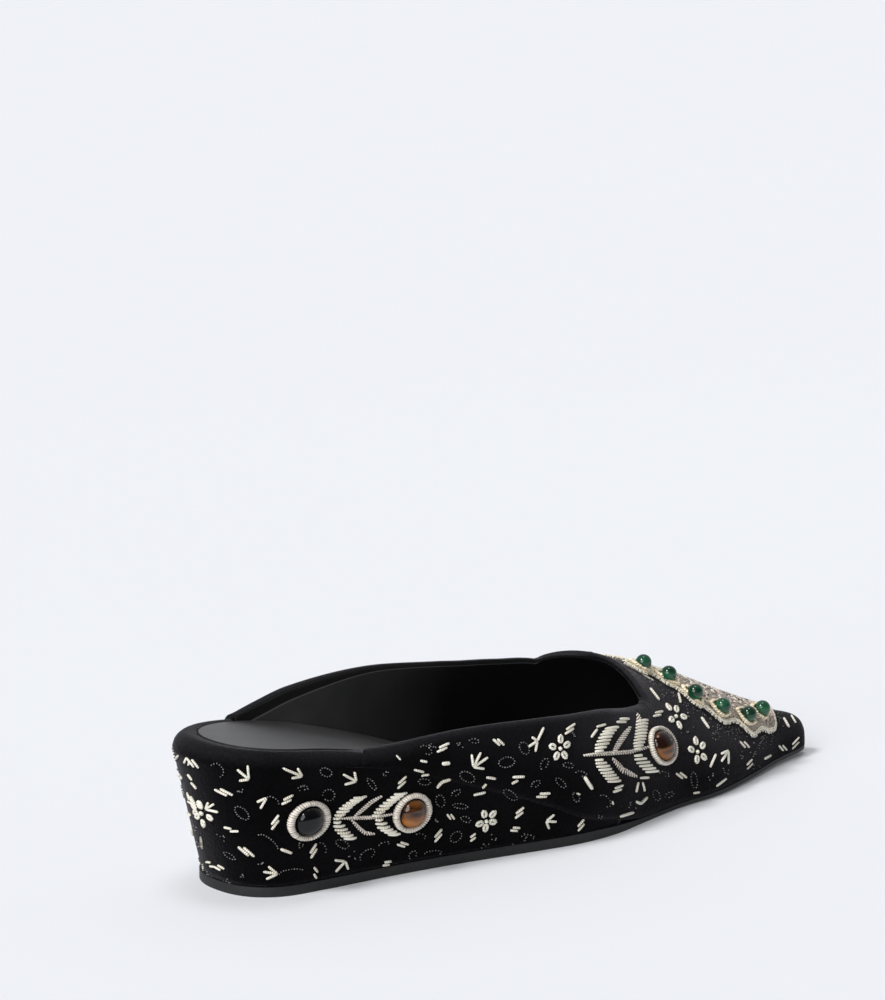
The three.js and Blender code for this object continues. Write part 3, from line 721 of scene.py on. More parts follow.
def build_upper():
    roll = roll_at(THROAT)
    outside_x = upper_stations(THROAT + roll, LENGTH)
    lining_x = upper_stations(THROAT + roll * ROLL_DROP, LENGTH - TOE_INSET * WALL)

    def outside(column, row):
        x = swept(outside_x, column, row)[0]
        inset = tail_inset_at(x)
        point = across_point(x, shell_across(x, row, inset, roll_at(x)), inset)
        from_hem = np.minimum(row, UPPER_ROWS - row)
        tuck = EDGE_TUCK * np.clip(1 - from_hem / TUCK_ROWS, 0, 1) ** 2 + HEM_TUCK * (from_hem == 0)
        point[:, 1] += np.where(row < UPPER_ROWS / 2, tuck, -tuck) * (x < WEDGE_END)
        point[:, 2] -= 2 * GAP * (from_hem == 0)
        return point

    def lining(column, row):
        x = swept(lining_x, column, row)[0]
        inset = wall_at(x)
        return across_point(x, shell_across(x, row, inset, roll_at(x) * ROLL_DROP), inset)

    bm = bmesh.new()
    part = bm.verts.layers.float.new("share")
    outward = bm.verts.layers.float_vector.new("outward")
    below = bm.verts.layers.float.new("below_edge")
    hole, edge_verts = set(), set()
    for number, (shape, stations) in enumerate(((outside, outside_x), (lining, lining_x))):
        made, column, row = shaped_grid(len(stations) - 1, UPPER_ROWS, shape, bm)[1:]
        x, throat = swept(stations, column, row)
        over_top = (row >= SIDE_ROWS) & (row <= UPPER_ROWS - SIDE_ROWS)
        outer_turn = np.where(column < THROAT_COLUMN, corner_at(x), 1)
        side_turn = np.where(row <= UPPER_ROWS / 2, outer_turn, 1 - inward_at(row))[:, None]
        backward = -unit(slopes(across_point, x, 0)[0])
        way = unit(backward * side_turn + UPWARD * (1 - side_turn)) * roll_at(x)[:, None]
        height = np.array([v.co.z for v in made]) - feather_at(x) - GAP
        drop = np.maximum(0, edge_height(x, row < UPPER_ROWS / 2, crest_at(x)) - height)
        depth = np.hypot(np.maximum(0, x - throat), np.where(over_top, 0, drop)) / facing_at(x)
        for vert, push, deep in zip(made, way, depth):
            vert[part] = number
            vert[outward] = push
            vert[below] = deep * number
        faces = {f for v in made for f in v.link_faces}
        for face in faces:
            face.material_index = number
        open_verts = set(compress(made, over_top & (column <= THROAT_COLUMN)))
        hole |= {f for f in faces if open_verts.issuperset(f.verts)}
        side_edge = (row == SIDE_ROWS) | (row == UPPER_ROWS - SIDE_ROWS)
        edge_verts |= set(compress(made, side_edge | (column == THROAT_COLUMN)))
    bmesh.ops.delete(bm, geom=list(hole), context="FACES")
    bmesh.ops.remove_doubles(bm, verts=bm.verts, dist=MERGE)
    old_faces = set(bm.faces)
    bmesh.ops.bridge_loops(bm, edges=[e for e in bm.edges if e.is_boundary])
    for face in set(bm.faces) - old_faces:
        face.material_index = 0
    joins = [
        e for e in bm.edges
        if abs(e.verts[0][part] - e.verts[1][part]) > 0.5 and edge_verts.issuperset(e.verts)
    ]
    bmesh.ops.subdivide_edges(bm, edges=joins, cuts=ROLL_CUTS, use_grid_fill=True)
    for vert in bm.verts:
        share = vert[part]
        if 0 < share < 1:
            rise = float(roll_profile(share)) - (1 - ROLL_DROP) * share
            vert.co += vert[outward] * rise
    return bm


# Outsole and footbed: flat plates shaped by the last, then given their thickness
PLATE_HEEL = 30
PLATE_MIDDLE = 105
PLATE_TIP = 15
PLATE_COLUMNS = PLATE_HEEL + PLATE_MIDDLE + PLATE_TIP
PLATE_ROWS = 20
SHARP = 1.0


def build_plate(first, last, half, low, thick, narrow, bevel):
    """A plate from first to last, half wide, its underside at low, narrowing upward, its edges rounded."""
    x = np.concatenate([
        steps(first, first + HEEL_ROUND, PLATE_HEEL, ease_in),
        steps(first + HEEL_ROUND, last - TOE_ROUND, PLATE_MIDDLE),
        steps(last - TOE_ROUND, last, PLATE_TIP, ease_out),
        [last],
    ])

    def shape(column, row):
        side = np.sin((row / PLATE_ROWS - 0.5) * np.pi)
        at = x[column]
        return np.stack([at, centre_at(at) + side * half(at), low(at)], -1)

    bm = shaped_grid(PLATE_COLUMNS, PLATE_ROWS, shape)[0]
    bmesh.ops.remove_doubles(bm, verts=bm.verts, dist=MERGE)
    raised = bmesh.ops.extrude_face_region(bm, geom=bm.faces[:])["geom"]
    for vert in [g for g in raised if isinstance(g, bmesh.types.BMVert)]:
        at = np.array(vert.co.x)
        middle = centre_at(at)
        vert.co = (vert.co.x, middle + (vert.co.y - middle) * narrow(at), vert.co.z + thick(at))
    bmesh.ops.recalc_face_normals(bm, faces=bm.faces)
    sharp = [e for e in bm.edges if len(e.link_faces) == 2 and e.calc_face_angle(0) > SHARP]
    bmesh.ops.bevel(
        bm, geom=sharp, offset=bevel, offset_type="OFFSET", segments=3, profile=0.5, affect="EDGES",
        material=-1, clamp_overlap=True,
    )
    return bm


def build_outsole():
    def half(x):
        return half_at(x, lean_at(x) - lip_at(x), BACK_LEAN - SOLE_LIP)

    return build_plate(BACK_LEAN - SOLE_LIP, LENGTH, half, floor_at, sole_at, np.ones_like, SOLE_BEVEL)


def build_footbed():
    def half(x):
        narrow = np.sqrt(np.clip((FOOTBED_END - x) / TOE_ROUND, 0, 1))
        return narrow * np.maximum(0, half_at(x, wall_at(x), RIM_BACK + GAP) - 2 * GAP)

    def low(x):
        return feather_at(x) + GAP

    def thick(x):
        return np.full_like(x, FOOTBED)

    def narrow_top(x):
        return across_at(GAP + FOOTBED, crest_at(x) - WALL)

    return build_plate(RIM_BACK + GAP, FOOTBED_END, half, low, thick, narrow_top, FOOTBED_BEVEL)


wedge_mesh = build_wedge()
upper_mesh = build_upper()
WALLS = (BVHTree.FromBMesh(wedge_mesh), BVHTree.FromBMesh(upper_mesh))

finish_piece(build_outsole(), "sole_plate", [SOLE_RUBBER], "sole_rubber", ["outsole"])
footbed = finish_piece(build_footbed(), "footbed_pad", [FOOTBED_LEATHER], "black_leather", ["footbed"])
finish_piece(wedge_mesh, "velvet_wedge", [VELVET], "velvet", ["wedge"])
finish_piece(upper_mesh, "velvet_upper", [VELVET, LINING], "velvet", ["upper"])


# Seats of the stones: an ellipse laid on the wall of the shoe
SEAT_TURNS = 6
SEAT_UPRIGHT = 0.5
STONE_MESH = (48, 32)
BEAD_MESH = (32, 20)
BEAD_CUT = math.sqrt(0.5)


class Seat:
    """A flat patch of a wall: along and up run on the wall from its middle, out stands off it."""

    def __init__(self, wall, u, v):
        self.wall = wall
        self.start = (float(u), float(v))
        self.origin = wall(u, v)
        along, over = slopes(wall, u, v)
        self.along = unit(along)
        self.up = unit(over - self.along * (over @ self.along))
        out = np.cross(self.along, self.up)
        away = np.sign(out[1]) == np.sign(self.origin[1] - centre_at(u)) or out[2] > SEAT_UPRIGHT
        self.out = out if away else -out

    def lay(self, s, t, high):
        """Points s along and t up on the wall, standing high off it."""
        goal = self.origin + s[:, None] * self.along + t[:, None] * self.up
        u, v = (np.full(len(s), start) for start in self.start)
        for _ in range(SEAT_TURNS):
            by_u, by_v = slopes(self.wall, u, v)
            miss = goal - self.wall(u, v)
            pairs = (by_u, by_u), (by_u, by_v), (by_v, by_v), (by_u, miss), (by_v, miss)
            a, b, c, p, q = ((first * second).sum(-1) for first, second in pairs)
            whole = a * c - b * b
            u = u + (p * c - q * b) / whole
            v = v + (q * a - p * b) / whole
        normal = unit(np.cross(*slopes(self.wall, u, v)))
        normal *= np.where(normal @ self.out < 0, -1, 1)[:, None]
        return self.wall(u, v) + high[:, None] * normal


def stone_seat(stone, side):
    if stone.wall == "wedge":
        return Seat(lambda x, share: wedge_point(x, share, side), stone.x, stone.share)
    return Seat(across_point, stone.x, side * stone.share)


def round_mesh(segments):
    """A sphere of radius one."""
    bm = bmesh.new()
    bmesh.ops.create_uvsphere(bm, u_segments=segments[0], v_segments=segments[1], radius=1)
    return bm


def move_to(bm, points):
    for vert, point in zip(bm.verts, points):
        vert.co = point
    return bm


def build_stone(seat, size):
    bm = round_mesh(STONE_MESH)
    everything = bm.verts[:] + bm.edges[:] + bm.faces[:]
    bmesh.ops.bisect_plane(bm, geom=everything, plane_co=(0, 0, 0), plane_no=(0, 0, 1), clear_inner=True)
    rim = [e for e in bm.edges if e.is_boundary]
    wall = bmesh.ops.extrude_edge_only(bm, edges=rim)["geom"]
    bmesh.ops.translate(bm, vec=(0, 0, -1), verts=[g for g in wall if isinstance(g, bmesh.types.BMVert)])
    bmesh.ops.holes_fill(bm, edges=[e for e in bm.edges if e.is_boundary], sides=0)
    points = np.array([v.co for v in bm.verts])
    high = np.where(points[:, 2] < 0, GAP, GAP + GIRDLE + (STONE_HIGH - GIRDLE) * points[:, 2])
    return move_to(bm, seat.lay(points[:, 0] * size[0] / 2, points[:, 1] * size[1] / 2, high))


STONE_LOOKS = {"black": BLACK_STONE, "brown": BROWN_STONE}
stone_seats = [(stone, name, stone_seat(stone, side)) for stone in STONES for name, side in SIDES.items()]
for stone, side_name, seat in stone_seats:
    finish_piece(
        build_stone(seat, stone.stone), f"{stone.name}_cabochon_{side_name}", [STONE_LOOKS[stone.look]],
        stone.look + "_stone", [f"{stone.name}_stone_{side_name}"],
    )


def panel_share(share):
    """A share of the half breadth on the panel: its inner half, above 0, is spread further down."""
    return np.sign(share) * np.abs(share) ** np.where(np.asarray(share) > 0, PANEL_LEAN, 1)


def build_bead(x, across):
    bm = round_mesh(BEAD_MESH)
    seat = Seat(across_point, x, across)
    points = np.array([v.co for v in bm.verts])
    points[:, 2] = np.maximum(points[:, 2], -BEAD_CUT)
    middle = seat.origin + seat.out * (PANEL_LIFT + PANEL + GAP + BEAD / 2 * BEAD_CUT)
    axes = np.stack([seat.along, np.cross(seat.out, seat.along), seat.out])
    return move_to(bm, middle + points @ axes * BEAD / 2)


bead_places = [
    (f"{side_name}_{number}", bead.x + PANEL_SKEW * side, panel_share(side * bead.across))
    for number, bead in enumerate(BEADS, 1)
    for side_name, side in SIDES.items()
]
for name, x, across in bead_places:
    finish_piece(build_bead(x, across), f"green_bead_{name}", [GREEN_STONE], "green_stone", [f"bead_{name}"])

# The photo's view of the shoe
BACK = np.array([
    math.sin(AZIMUTH) * math.cos(ELEVATION), -math.cos(AZIMUTH) * math.cos(ELEVATION), math.sin(ELEVATION),
])
RIGHT = np.array([math.cos(AZIMUTH), math.sin(AZIMUTH), 0])
UP = np.cross(BACK, RIGHT)
EYE = TARGET + BACK * CAMERA_DISTANCE
FOCAL = LENS / SENSOR * PHOTO_SIZE[0]
PIXEL = CAMERA_DISTANCE / FOCAL
FAR_SIDE = 200


def first_hit(start, way):
    """Nearest point of the velvet along a ray, with its outward normal."""
    start, way = Vector(start), Vector(way).normalized()
    hits = [hit for hit in (wall.ray_cast(start, way) for wall in WALLS) if hit[0] is not None]
    if not hits:
        return None
    point, normal, _, _ = min(hits, key=lambda hit: hit[3])
    return np.array(point), turned_to(np.array(normal), -np.array(way))


def at_pixel(u, v):
    """Where a pixel of the photo lies on the outer side of the shoe."""
    way = RIGHT * (u - PHOTO_SIZE[0] / 2) - UP * (v - PHOTO_SIZE[1] / 2) - BACK * FOCAL
    return first_hit(EYE, way)


def on_other_side(point):
    """The place at the same length and height on the inner side."""
    return first_hit((point[0], FAR_SIDE, point[2]), (0, -1, 0))


def nearest_on(walls, point):
    found = [wall.find_nearest(Vector(point)) for wall in walls]
    place, normal, _, _ = min(found, key=lambda hit: hit[3])
    return np.array(place), np.array(normal)


def run(path):
    """How far along a path each of its points lies."""
    return np.concatenate([[0], np.cumsum(np.linalg.norm(np.diff(path, axis=0), axis=1))])


def along_path(places, path, values=None):
    """Values that belong to the points of a path, or the points themselves, at places along it."""
    lines = np.asarray(path if values is None else values).T
    return np.stack([np.interp(places, run(path), line) for line in lines], -1)


def even_path(path, pitch):
    """The same path with points every pitch."""
    long = run(path)[-1]
    return along_path(np.linspace(0, long, max(2, int(round(long / pitch)))), path)


# A thread is full soon after its ends, and a seed bead stands off by part of its radius
THREAD_FULL = 1.2
SEED_STAND = 0.7


def points_and_faces(create, **sizes):
    bm = bmesh.new()
    create(bm, radius=1, **sizes)
    made = np.array([v.co for v in bm.verts]), [[v.index for v in f.verts] for f in bm.faces]
    bm.free()
    return made


@lru_cache
def tube(sides, rings):
    """A closed tube: share along it, thickness and angle of each vertex, and its faces."""
    points, faces = points_and_faces(bmesh.ops.create_uvsphere, u_segments=sides, v_segments=rings)
    polar = np.arccos(np.clip(-points[:, 2], -1, 1))
    thick = np.minimum(1, THREAD_FULL * np.sqrt(np.maximum(0, np.sin(polar))))
    return (1 - np.cos(polar)) / 2, thick, np.arctan2(points[:, 1], points[:, 0]), faces


SEED_SHAPE = points_and_faces(bmesh.ops.create_icosphere, subdivisions=1)


class Stitches:
    """Many small threads or seed beads gathered into one mesh."""

    def __init__(self, name, material, slot):
        self.name, self.material, self.slot = name, material, slot
        self.points, self.faces, self.along, self.tones = [], [], [], []
        self.count = 0

    def add(self, points, faces, along, tone):
        self.points.append(points)
        self.faces += [[i + self.count for i in face] for face in faces]
        self.along.append(along)
        self.tones.append(np.full(len(points), tone))
        self.count += len(points)

    def stroke(self, path, normals, radius, lift, tone, rings=6, sides=6):
        """A thread laid along a path, lifted off what carries it."""
        share, thick, angle, faces = tube(sides, rings)
        place = share * run(path)[-1]
        normal = along_path(place, path, normals)
        side = unit(np.cross(normal, along_path(place, path, np.gradient(path, axis=0))))
        lifts = np.interp(place, run(path), np.broadcast_to(lift, len(path)))
        stand = normal * (lifts + thick * radius * np.sin(angle))[:, None]
        aside = side * (thick * radius * np.cos(angle))[:, None]
        self.add(along_path(place, path) + stand + aside, faces, place, tone)

    def seed(self, place, normal, radius, tone):
        """A tiny round bead."""
        points, faces = SEED_SHAPE
        self.add(place + normal * radius * SEED_STAND + points * radius, faces, points[:, 2] * radius, tone)

    def piece(self):
        mesh = bpy.data.meshes.new(self.name)
        points = (np.concatenate(self.points) - SHIFT) * MM
        mesh.from_pydata(points.tolist(), [], self.faces)
        for key, values in (("along", self.along), ("tone", self.tones)):
            mesh.attributes.new(key, "FLOAT", "POINT").data.foreach_set("value", np.concatenate(values))
        place_piece(mesh, self.name, [self.material], self.slot)


# Embroidery on the velvet, charted in photo pixels: u to the right and v down
PURL_DASHES = table(
    "u v to_u to_v strands wide",
    (176, 759, 179, 755, 1, 3.2), (188.5, 757, 198, 769, 2, 3.2), (180.3, 774, 182.5, 780, 1, 3),
    (188, 774, 192.5, 780, 1, 3.4), (191.4, 782, 197, 788.7, 1, 3.4), (215, 787.6, 232.6, 796.4, 2, 3.4),
    (187.5, 792, 190.3, 802, 1, 3), (188.2, 813, 189.2, 818.7, 1, 2.6), (201, 836.4, 203, 849, 1, 3.4),
    (224, 827, 232, 828.7, 1, 3.2), (230, 831, 239, 831, 1, 3.2), (280.3, 803, 294, 796, 2, 3.4),
    (270, 828.7, 280, 815.3, 2, 3.4), (239, 845, 253.7, 857.6, 2, 3.6), (280, 848.7, 292, 853, 1, 4),
    (203, 864, 204.8, 873.7, 1, 3.2), (215, 865, 224, 870, 2, 3), (309, 857.4, 317.4, 844, 2, 3.4),
    (313.7, 867, 317.4, 872, 1, 3.4), (313.7, 873.7, 317.4, 880.5, 1, 3.4), (397, 842.6, 408, 846, 2, 3.2),
    (382, 864, 391.6, 862.6, 2, 3.2), (433, 841, 443, 829.5, 2, 3.4), (396, 787.4, 407.4, 777, 2, 3.2),
    (413.7, 769.5, 424, 772, 1, 3.2), (421, 775.8, 429, 774.2, 1, 3.2), (420, 760.6, 427, 761.8, 1, 3.2),
    (396, 755.5, 400.5, 760, 1, 2.4), (441.6, 763.6, 449.5, 762.8, 1, 5),
    (485.7, 777, 495.7, 778.6, 1, 3.6),
    (512, 777, 524.5, 776.4, 1, 3.6), (511.4, 783.6, 518, 780, 1, 3.4), (482, 788, 486.4, 783.6, 1, 3.4),
    (473, 795, 485.7, 792, 1, 3.4), (535.7, 795, 550.5, 794.6, 2, 3.4), (448, 813, 453, 820, 2, 3),
    (513.6, 817, 525, 808, 2, 3.4), (510, 828.6, 520, 829.3, 2, 3.2), (469, 840, 476.4, 834.3, 2, 3),
    (576.4, 830, 585, 820, 2, 3.2), (435.7, 750.7, 450, 744.3, 2, 3.4), (493.6, 738, 503, 746.4, 2, 3.6),
    (563.6, 733, 575.7, 725, 2, 3.4), (583.6, 776.4, 592, 789.3, 1, 5), (612, 790.6, 623.4, 786.6, 2, 3.4),
    (619, 816.4, 633.6, 812, 1, 4), (576, 793, 580, 794.4, 1, 2.4), (616, 720.6, 628.8, 720.6, 2, 3.6),
    (590.6, 737.5, 597, 729, 1, 3.4), (596, 727, 605.5, 724.4, 1, 3.4), (639.4, 778, 648.8, 777.5, 1, 3.6),
    (638, 782, 635.6, 792.5, 1, 3.4), (642, 782, 644.4, 791.3, 1, 3.4),
    (641.3, 673.8, 653.8, 681.3, 1, 2.6),
    (649.4, 688, 659.4, 700.6, 1, 3.6), (678, 693, 680.3, 703.4, 1, 3.6), (652.5, 715, 663, 713, 2, 3.2),
    (700.6, 717, 708.8, 728.8, 1, 3.8), (676.3, 772, 685.6, 779, 2, 3.2), (693, 793, 699.4, 792, 1, 3),
    (715.6, 753.8, 709.4, 767.5, 1, 3.6), (740.6, 740.6, 748, 748.8, 2, 3), (745.6, 768, 753, 760, 2, 2.8),
    (763.8, 758.8, 770.6, 755, 1, 3.4), (779.4, 744.4, 785.6, 751.3, 2, 2.8),
    (783, 717.5, 788.8, 727.5, 1, 3.6),
    (790.6, 715, 795.6, 723, 1, 3), (790.6, 748, 800, 738, 2, 2.6), (715.6, 786.3, 726.3, 778, 1, 3.4),
    (620.6, 661, 625.6, 665, 1, 2.4), (612, 801, 613, 804.5, 1, 2.4),
)
BENT_DASHES = table(
    "u v turn_u turn_v to_u to_v",
    (436.5, 788, 441, 782, 450.5, 779),
    (635.6, 801.3, 640, 803.8, 647, 797),
)
# Sprigs: strokes that meet in one point
SPRIGS = (
    ((249, 779), (239, 780.5), (237, 769), (247.5, 765)),
    ((302, 776), (282, 768), (291, 778), (297, 768)),
    ((356, 781), (342.5, 774), (344, 784.5), (354, 771.5)),
    ((277.5, 873.5), (263, 871.5), (266, 879), (268, 866)),
    ((345, 861), (334, 860), (335, 872), (348, 869.5)),
    ((266.4, 797.6), (256.4, 802), (260, 808.7)),
    ((473, 767), (471.3, 754), (480.7, 752), (488, 757), (484.4, 768.6)),
    ((546, 821), (554.3, 814), (556.4, 821.4), (548.8, 828.7)),
    ((537, 741), (543.6, 727), (528, 746.8), (535, 752), (531.4, 737)),
    ((728, 750.5), (720.5, 754), (720.6, 762), (728, 764.3)),
    ((206, 809), (208.7, 802), (214.6, 803.5), (219, 812)),
)
# Flowers: the middle, then the middle of each looped petal
FLOWERS = (
    ((203, 813), (194, 805.5), (201, 804), (197.6, 816), (204, 824), (211, 817.6)),
    ((485.7, 820.7), (483.6, 813), (493, 813), (493, 821.5), (485, 828), (478.6, 823.6)),
    ((559.3, 748.6), (560, 738), (567, 744.3), (564.3, 755.7), (555.7, 756.4), (551.4, 746.4)),
    ((675, 717), (667.5, 706.5), (676, 708.5), (684, 717), (679, 726), (670.5, 720)),
    ((696.5, 752), (695, 740), (702.5, 745), (690, 749.4), (696.3, 760), (703.8, 757.5)),
)
# Leaves in padded satin stitch, from root to tip with the length of a stitch across
SATIN_LEAVES = table(
    "u v mid_u mid_v tip_u tip_v wide",
    (337, 818, 347, 806, 360, 797, 14), (337, 822, 342, 831, 350, 838, 13.5),
    (376, 815, 387, 804, 400.5, 793.5, 14), (379, 819.5, 384, 828, 394, 834, 13.5),
    (599, 751, 606, 735, 611.5, 728, 14.5), (599, 760, 606, 771, 614, 781, 14),
    (637.5, 749, 640.6, 735, 642, 721, 12.5), (638, 755.6, 644, 764, 652, 771.5, 14),
)
# Long laid threads: narrow leaves and stems
LONG_THREADS = (
    (4.8, (354, 817), (362, 810), (371.6, 801.6), (381, 796.3)),
    (5, (351.6, 820.5), (359, 828), (365, 833), (373.7, 833.7)),
    (4.4, (342, 818.5), (371.6, 817.4), (391.6, 814.2)),
    (7, (614, 752.5), (619, 743), (625, 734), (629.5, 727.5)),
    (7, (612.5, 759), (622.5, 770), (636, 776.3)),
    (5, (584, 755.5), (594, 754.5), (630, 752), (650, 746.5)),
    (6, (640, 722), (637, 714.5)),
)
# Scrolls of dark seed beads: ovals with their half sizes, turn in degrees and share of the round
SEED_SCROLLS = table(
    "u v long broad turn share",
    (217, 770, 7.5, 6, 45, 0.55), (242, 812.6, 8.5, 4.4, 42, 1), (273, 800, 6.5, 2.6, 30, 0.5),
    (230, 855.5, 6.5, 2, 30, 1), (268, 842, 12, 4, 38, 0.45), (291, 872, 12, 3, -8, 0.45),
    (325.8, 772, 6, 4, 20, 1), (328.4, 794.7, 6, 5.6, 0, 0.85), (424, 781.5, 6, 3, 5, 1),
    (440, 800.5, 6, 4.4, 75, 1), (342, 843.7, 7, 3.6, 25, 1), (467, 776.5, 8, 4.6, 25, 1),
    (510, 794.5, 8, 3.6, 35, 1), (455.7, 792.5, 5, 2.4, -30, 0.8), (506.4, 762, 8, 5, -10, 1),
    (455.7, 836.4, 6.5, 4.4, -40, 0.9), (371.4, 783.6, 7, 2.4, 54, 1), (367, 854.5, 8.5, 4.4, -35, 0.7),
    (412.5, 854.5, 4.8, 3, -50, 0.7), (433, 852.5, 8.5, 2.2, -5, 0.6), (605, 800.5, 7, 4, 50, 0.6),
    (460, 805.7, 7.4, 2.4, 8, 1), (560.5, 782.5, 6.5, 2.8, 45, 0.9), (575.8, 797, 5, 3, 65, 0.9),
    (524, 748, 6.4, 4.4, 60, 1), (544, 763.6, 6, 3.2, -60, 0.8), (568, 765, 5.4, 2.4, 10, 0.9),
    (474, 740.7, 5, 2, 8, 0.8), (426, 750, 6, 3.4, 30, 0.7), (535.5, 783.5, 5, 2.6, -30, 0.8),
    (465.5, 819, 5, 2.6, 20, 0.9), (528, 836.5, 6.5, 2, 5, 0.6), (693.8, 780, 8, 3, 82, 0.9),
    (656, 795, 5.4, 3.2, 70, 0.9), (669, 794.4, 4.6, 2.4, -25, 0.8), (664, 773.8, 5, 2.2, 15, 0.7),
    (581, 773.5, 5.6, 2.2, 15, 0.7), (384, 843.5, 5.5, 1.8, -15, 0.6), (421, 835.5, 5, 2, 20, 0.6),
    (322.5, 847, 5.5, 2.6, 60, 0.5), (303, 787.5, 5, 1.8, 0, 0.7), (715.5, 736, 4, 3.4, 45, 0.9),
)
SEED_CLUSTERS = table(
    "u v",
    (221, 837), (243, 876), (302, 787), (527, 838), (436.8, 819.5), (718, 730.6), (687.5, 716),
    (687.5, 731),
    (740, 757.5), (752, 754), (574, 735.7), (460, 744.3), (431, 746), (494, 838), (485, 844),
    (513.5, 845.5),
    (352, 855.5), (386, 775), (711, 777), (663, 694), (240, 790), (262, 862), (300, 845), (380, 880),
    (225, 880),
    (405, 815.5), (600, 815), (632, 805), (725, 770), (757, 766),
)
DASH_SHARE = 0.84
TWO_STRANDS = 1.5
STRAND_SHARE = 0.76
LEAF_PITCH = 3.1
ROD_SHARE = 0.98
UPPER_SLOPE = -0.13
LOWER_SLOPE = -0.08
LEAF_LIFT = ((0, 0.5, 1), (0.05, 0.7, 0.05))
LEAF_ROOT = 0.6
LEAF_WIDENS = 4
BENT_WIDE = 3.4
SPRIG_WIDE = 2.9
THREAD_LIFT = 0.5
TONES = (0.3, 1)
BRIGHT = (0.6, 1)
STEM_PITCH = 2.3
STEM_THREAD = 1.9
STEM_TAPER = 0.55
STEM_CURVE = 3
STEM_LIFT = ((0, 0.5, 1), (0, 0.45, 0))
STEM_SLANT = np.array([[0.57, 0.82], [-0.82, 0.57]])
PETAL = (1.2, 0.68)
PETAL_THREAD = 0.52
PETAL_NEAR = 0.1
PETAL_POINTS = 13
PETAL_LIFT = 0.3
KNOT = 0.75
SEED = 0.29
SEED_PITCH = 0.75
SEED_SIZES = (0.85, 1.1)
SCROLL_POINTS = 40
CLUSTER = 5
CLUSTER_SPREAD = (2.2, 1.8)
CHANCE = random.Random(5)

purl = Stitches("purl_embroidery", PURL, "gold_thread")
satin = Stitches("satin_embroidery", CREAM_THREAD, "gold_thread")
stems = Stitches("laid_stems", ROSE_THREAD, "gold_thread")
seeds = Stitches("seed_beads", SEED_BEADS, "black_stone")
chips = Stitches("panel_thread_chips", CHIP_THREADS, "gold_thread")
fringe = Stitches("panel_fringe", CREAM_THREAD, "gold_thread")
cords = Stitches("panel_cords", GOLD_CORD, "gold_thread")


def path_on_shoe(pixels, count):
    """Places spread evenly along a line of pixels, on the outer and on the inner side."""
    pixels = np.asarray(pixels, float)
    spread = along_path(np.linspace(0, run(pixels)[-1], count), pixels)
    outer = [hit for hit in (at_pixel(*pixel) for pixel in spread) if hit]
    inner = [hit for hit in (on_other_side(point) for point, _ in outer) if hit]
    return [side for side in (outer, inner) if len(side) > 1]


def lay(stitches, pixels, wide, tone=None, count=4, lift=None, **shape):
    """A thread of that width in pixels along a line of pixels, on both sides of the shoe."""
    radius = wide * PIXEL / 2
    for side in path_on_shoe(pixels, count):
        path, normals = zip(*side)
        height = radius * THREAD_LIFT if lift is None else np.interp(np.linspace(0, 1, len(path)), *lift)
        shade = CHANCE.uniform(*TONES) if tone is None else tone
        stitches.stroke(path, normals, radius, height, shade, **shape)


for dash in PURL_DASHES:
    start, end = np.array(dash[:2]), np.array(dash[2:4])
    if dash.strands == 1:
        lay(purl, (start, end), dash.wide * DASH_SHARE)
        continue
    way = (end - start) * STRAND_SHARE
    aside = np.array([-way[1], way[0]]) / np.linalg.norm(way) * TWO_STRANDS
    lay(purl, (start + aside, start + way + aside), dash.wide * DASH_SHARE)
    lay(purl, (end - way - aside, end - aside), dash.wide * DASH_SHARE)
for dash in BENT_DASHES:
    lay(purl, np.reshape(dash, (3, 2)), BENT_WIDE, count=7, rings=10)
for apex, *tips in SPRIGS:
    for tip in tips:
        lay(purl, (apex, tip), SPRIG_WIDE)
for wide, *pixels in LONG_THREADS:
    line = even_path(np.array(pixels), STEM_PITCH)
    for i, way in enumerate(np.gradient(line, axis=0)):
        narrow = 1 - STEM_TAPER * abs(2 * i / (len(line) - 1) - 1) ** STEM_CURVE
        slanted = way @ STEM_SLANT / np.linalg.norm(way) * wide / 2 * narrow
        ends = line[i] - slanted, line[i] + slanted
        lay(stems, ends, STEM_THREAD, tone=CHANCE.uniform(0, 1), lift=STEM_LIFT, sides=5)

for leaf in SATIN_LEAVES:
    spine = np.reshape(leaf[:6], (3, 2))
    rows = int(round(abs(leaf.tip_v - leaf.v) / LEAF_PITCH)) + 1
    slope = UPPER_SLOPE if leaf.tip_v < leaf.v else LOWER_SLOPE
    for share in np.arange(rows) / (rows - 1):
        middle = along_path(share * run(spine)[-1], spine)
        reach = leaf.wide / 2 * (LEAF_ROOT + (1 - LEAF_ROOT) * min(1, LEAF_WIDENS * share))
        across = np.array([reach, reach * slope])
        lay(satin, (middle - across, middle + across), LEAF_PITCH * ROD_SHARE, count=5, lift=LEAF_LIFT)

for middle, *petals in FLOWERS:
    knot = at_pixel(*middle)
    for place in (knot, on_other_side(knot[0])):
        purl.seed(*place, KNOT, CHANCE.uniform(*BRIGHT))
    for petal in petals:
        hits = at_pixel(*petal), knot
        if not all(hits):
            continue
        for (spot, normal), (heart, _) in (hits, [on_other_side(point) for point, _ in hits]):
            spot = spot + (heart - spot) * PETAL_NEAR
            outward = spot - heart
            outward = unit(outward - normal * (outward @ normal))
            aside = np.cross(normal, outward)
            loop = [
                nearest_on(WALLS, spot + outward * PETAL[0] * math.cos(a) + aside * PETAL[1] * math.sin(a))[0]
                for a in np.linspace(0, 2 * math.pi, PETAL_POINTS) + math.pi
            ]
            shade = CHANCE.uniform(*BRIGHT)
            purl.stroke(loop, [normal] * len(loop), PETAL_THREAD, PETAL_LIFT, shade, rings=14, sides=5)

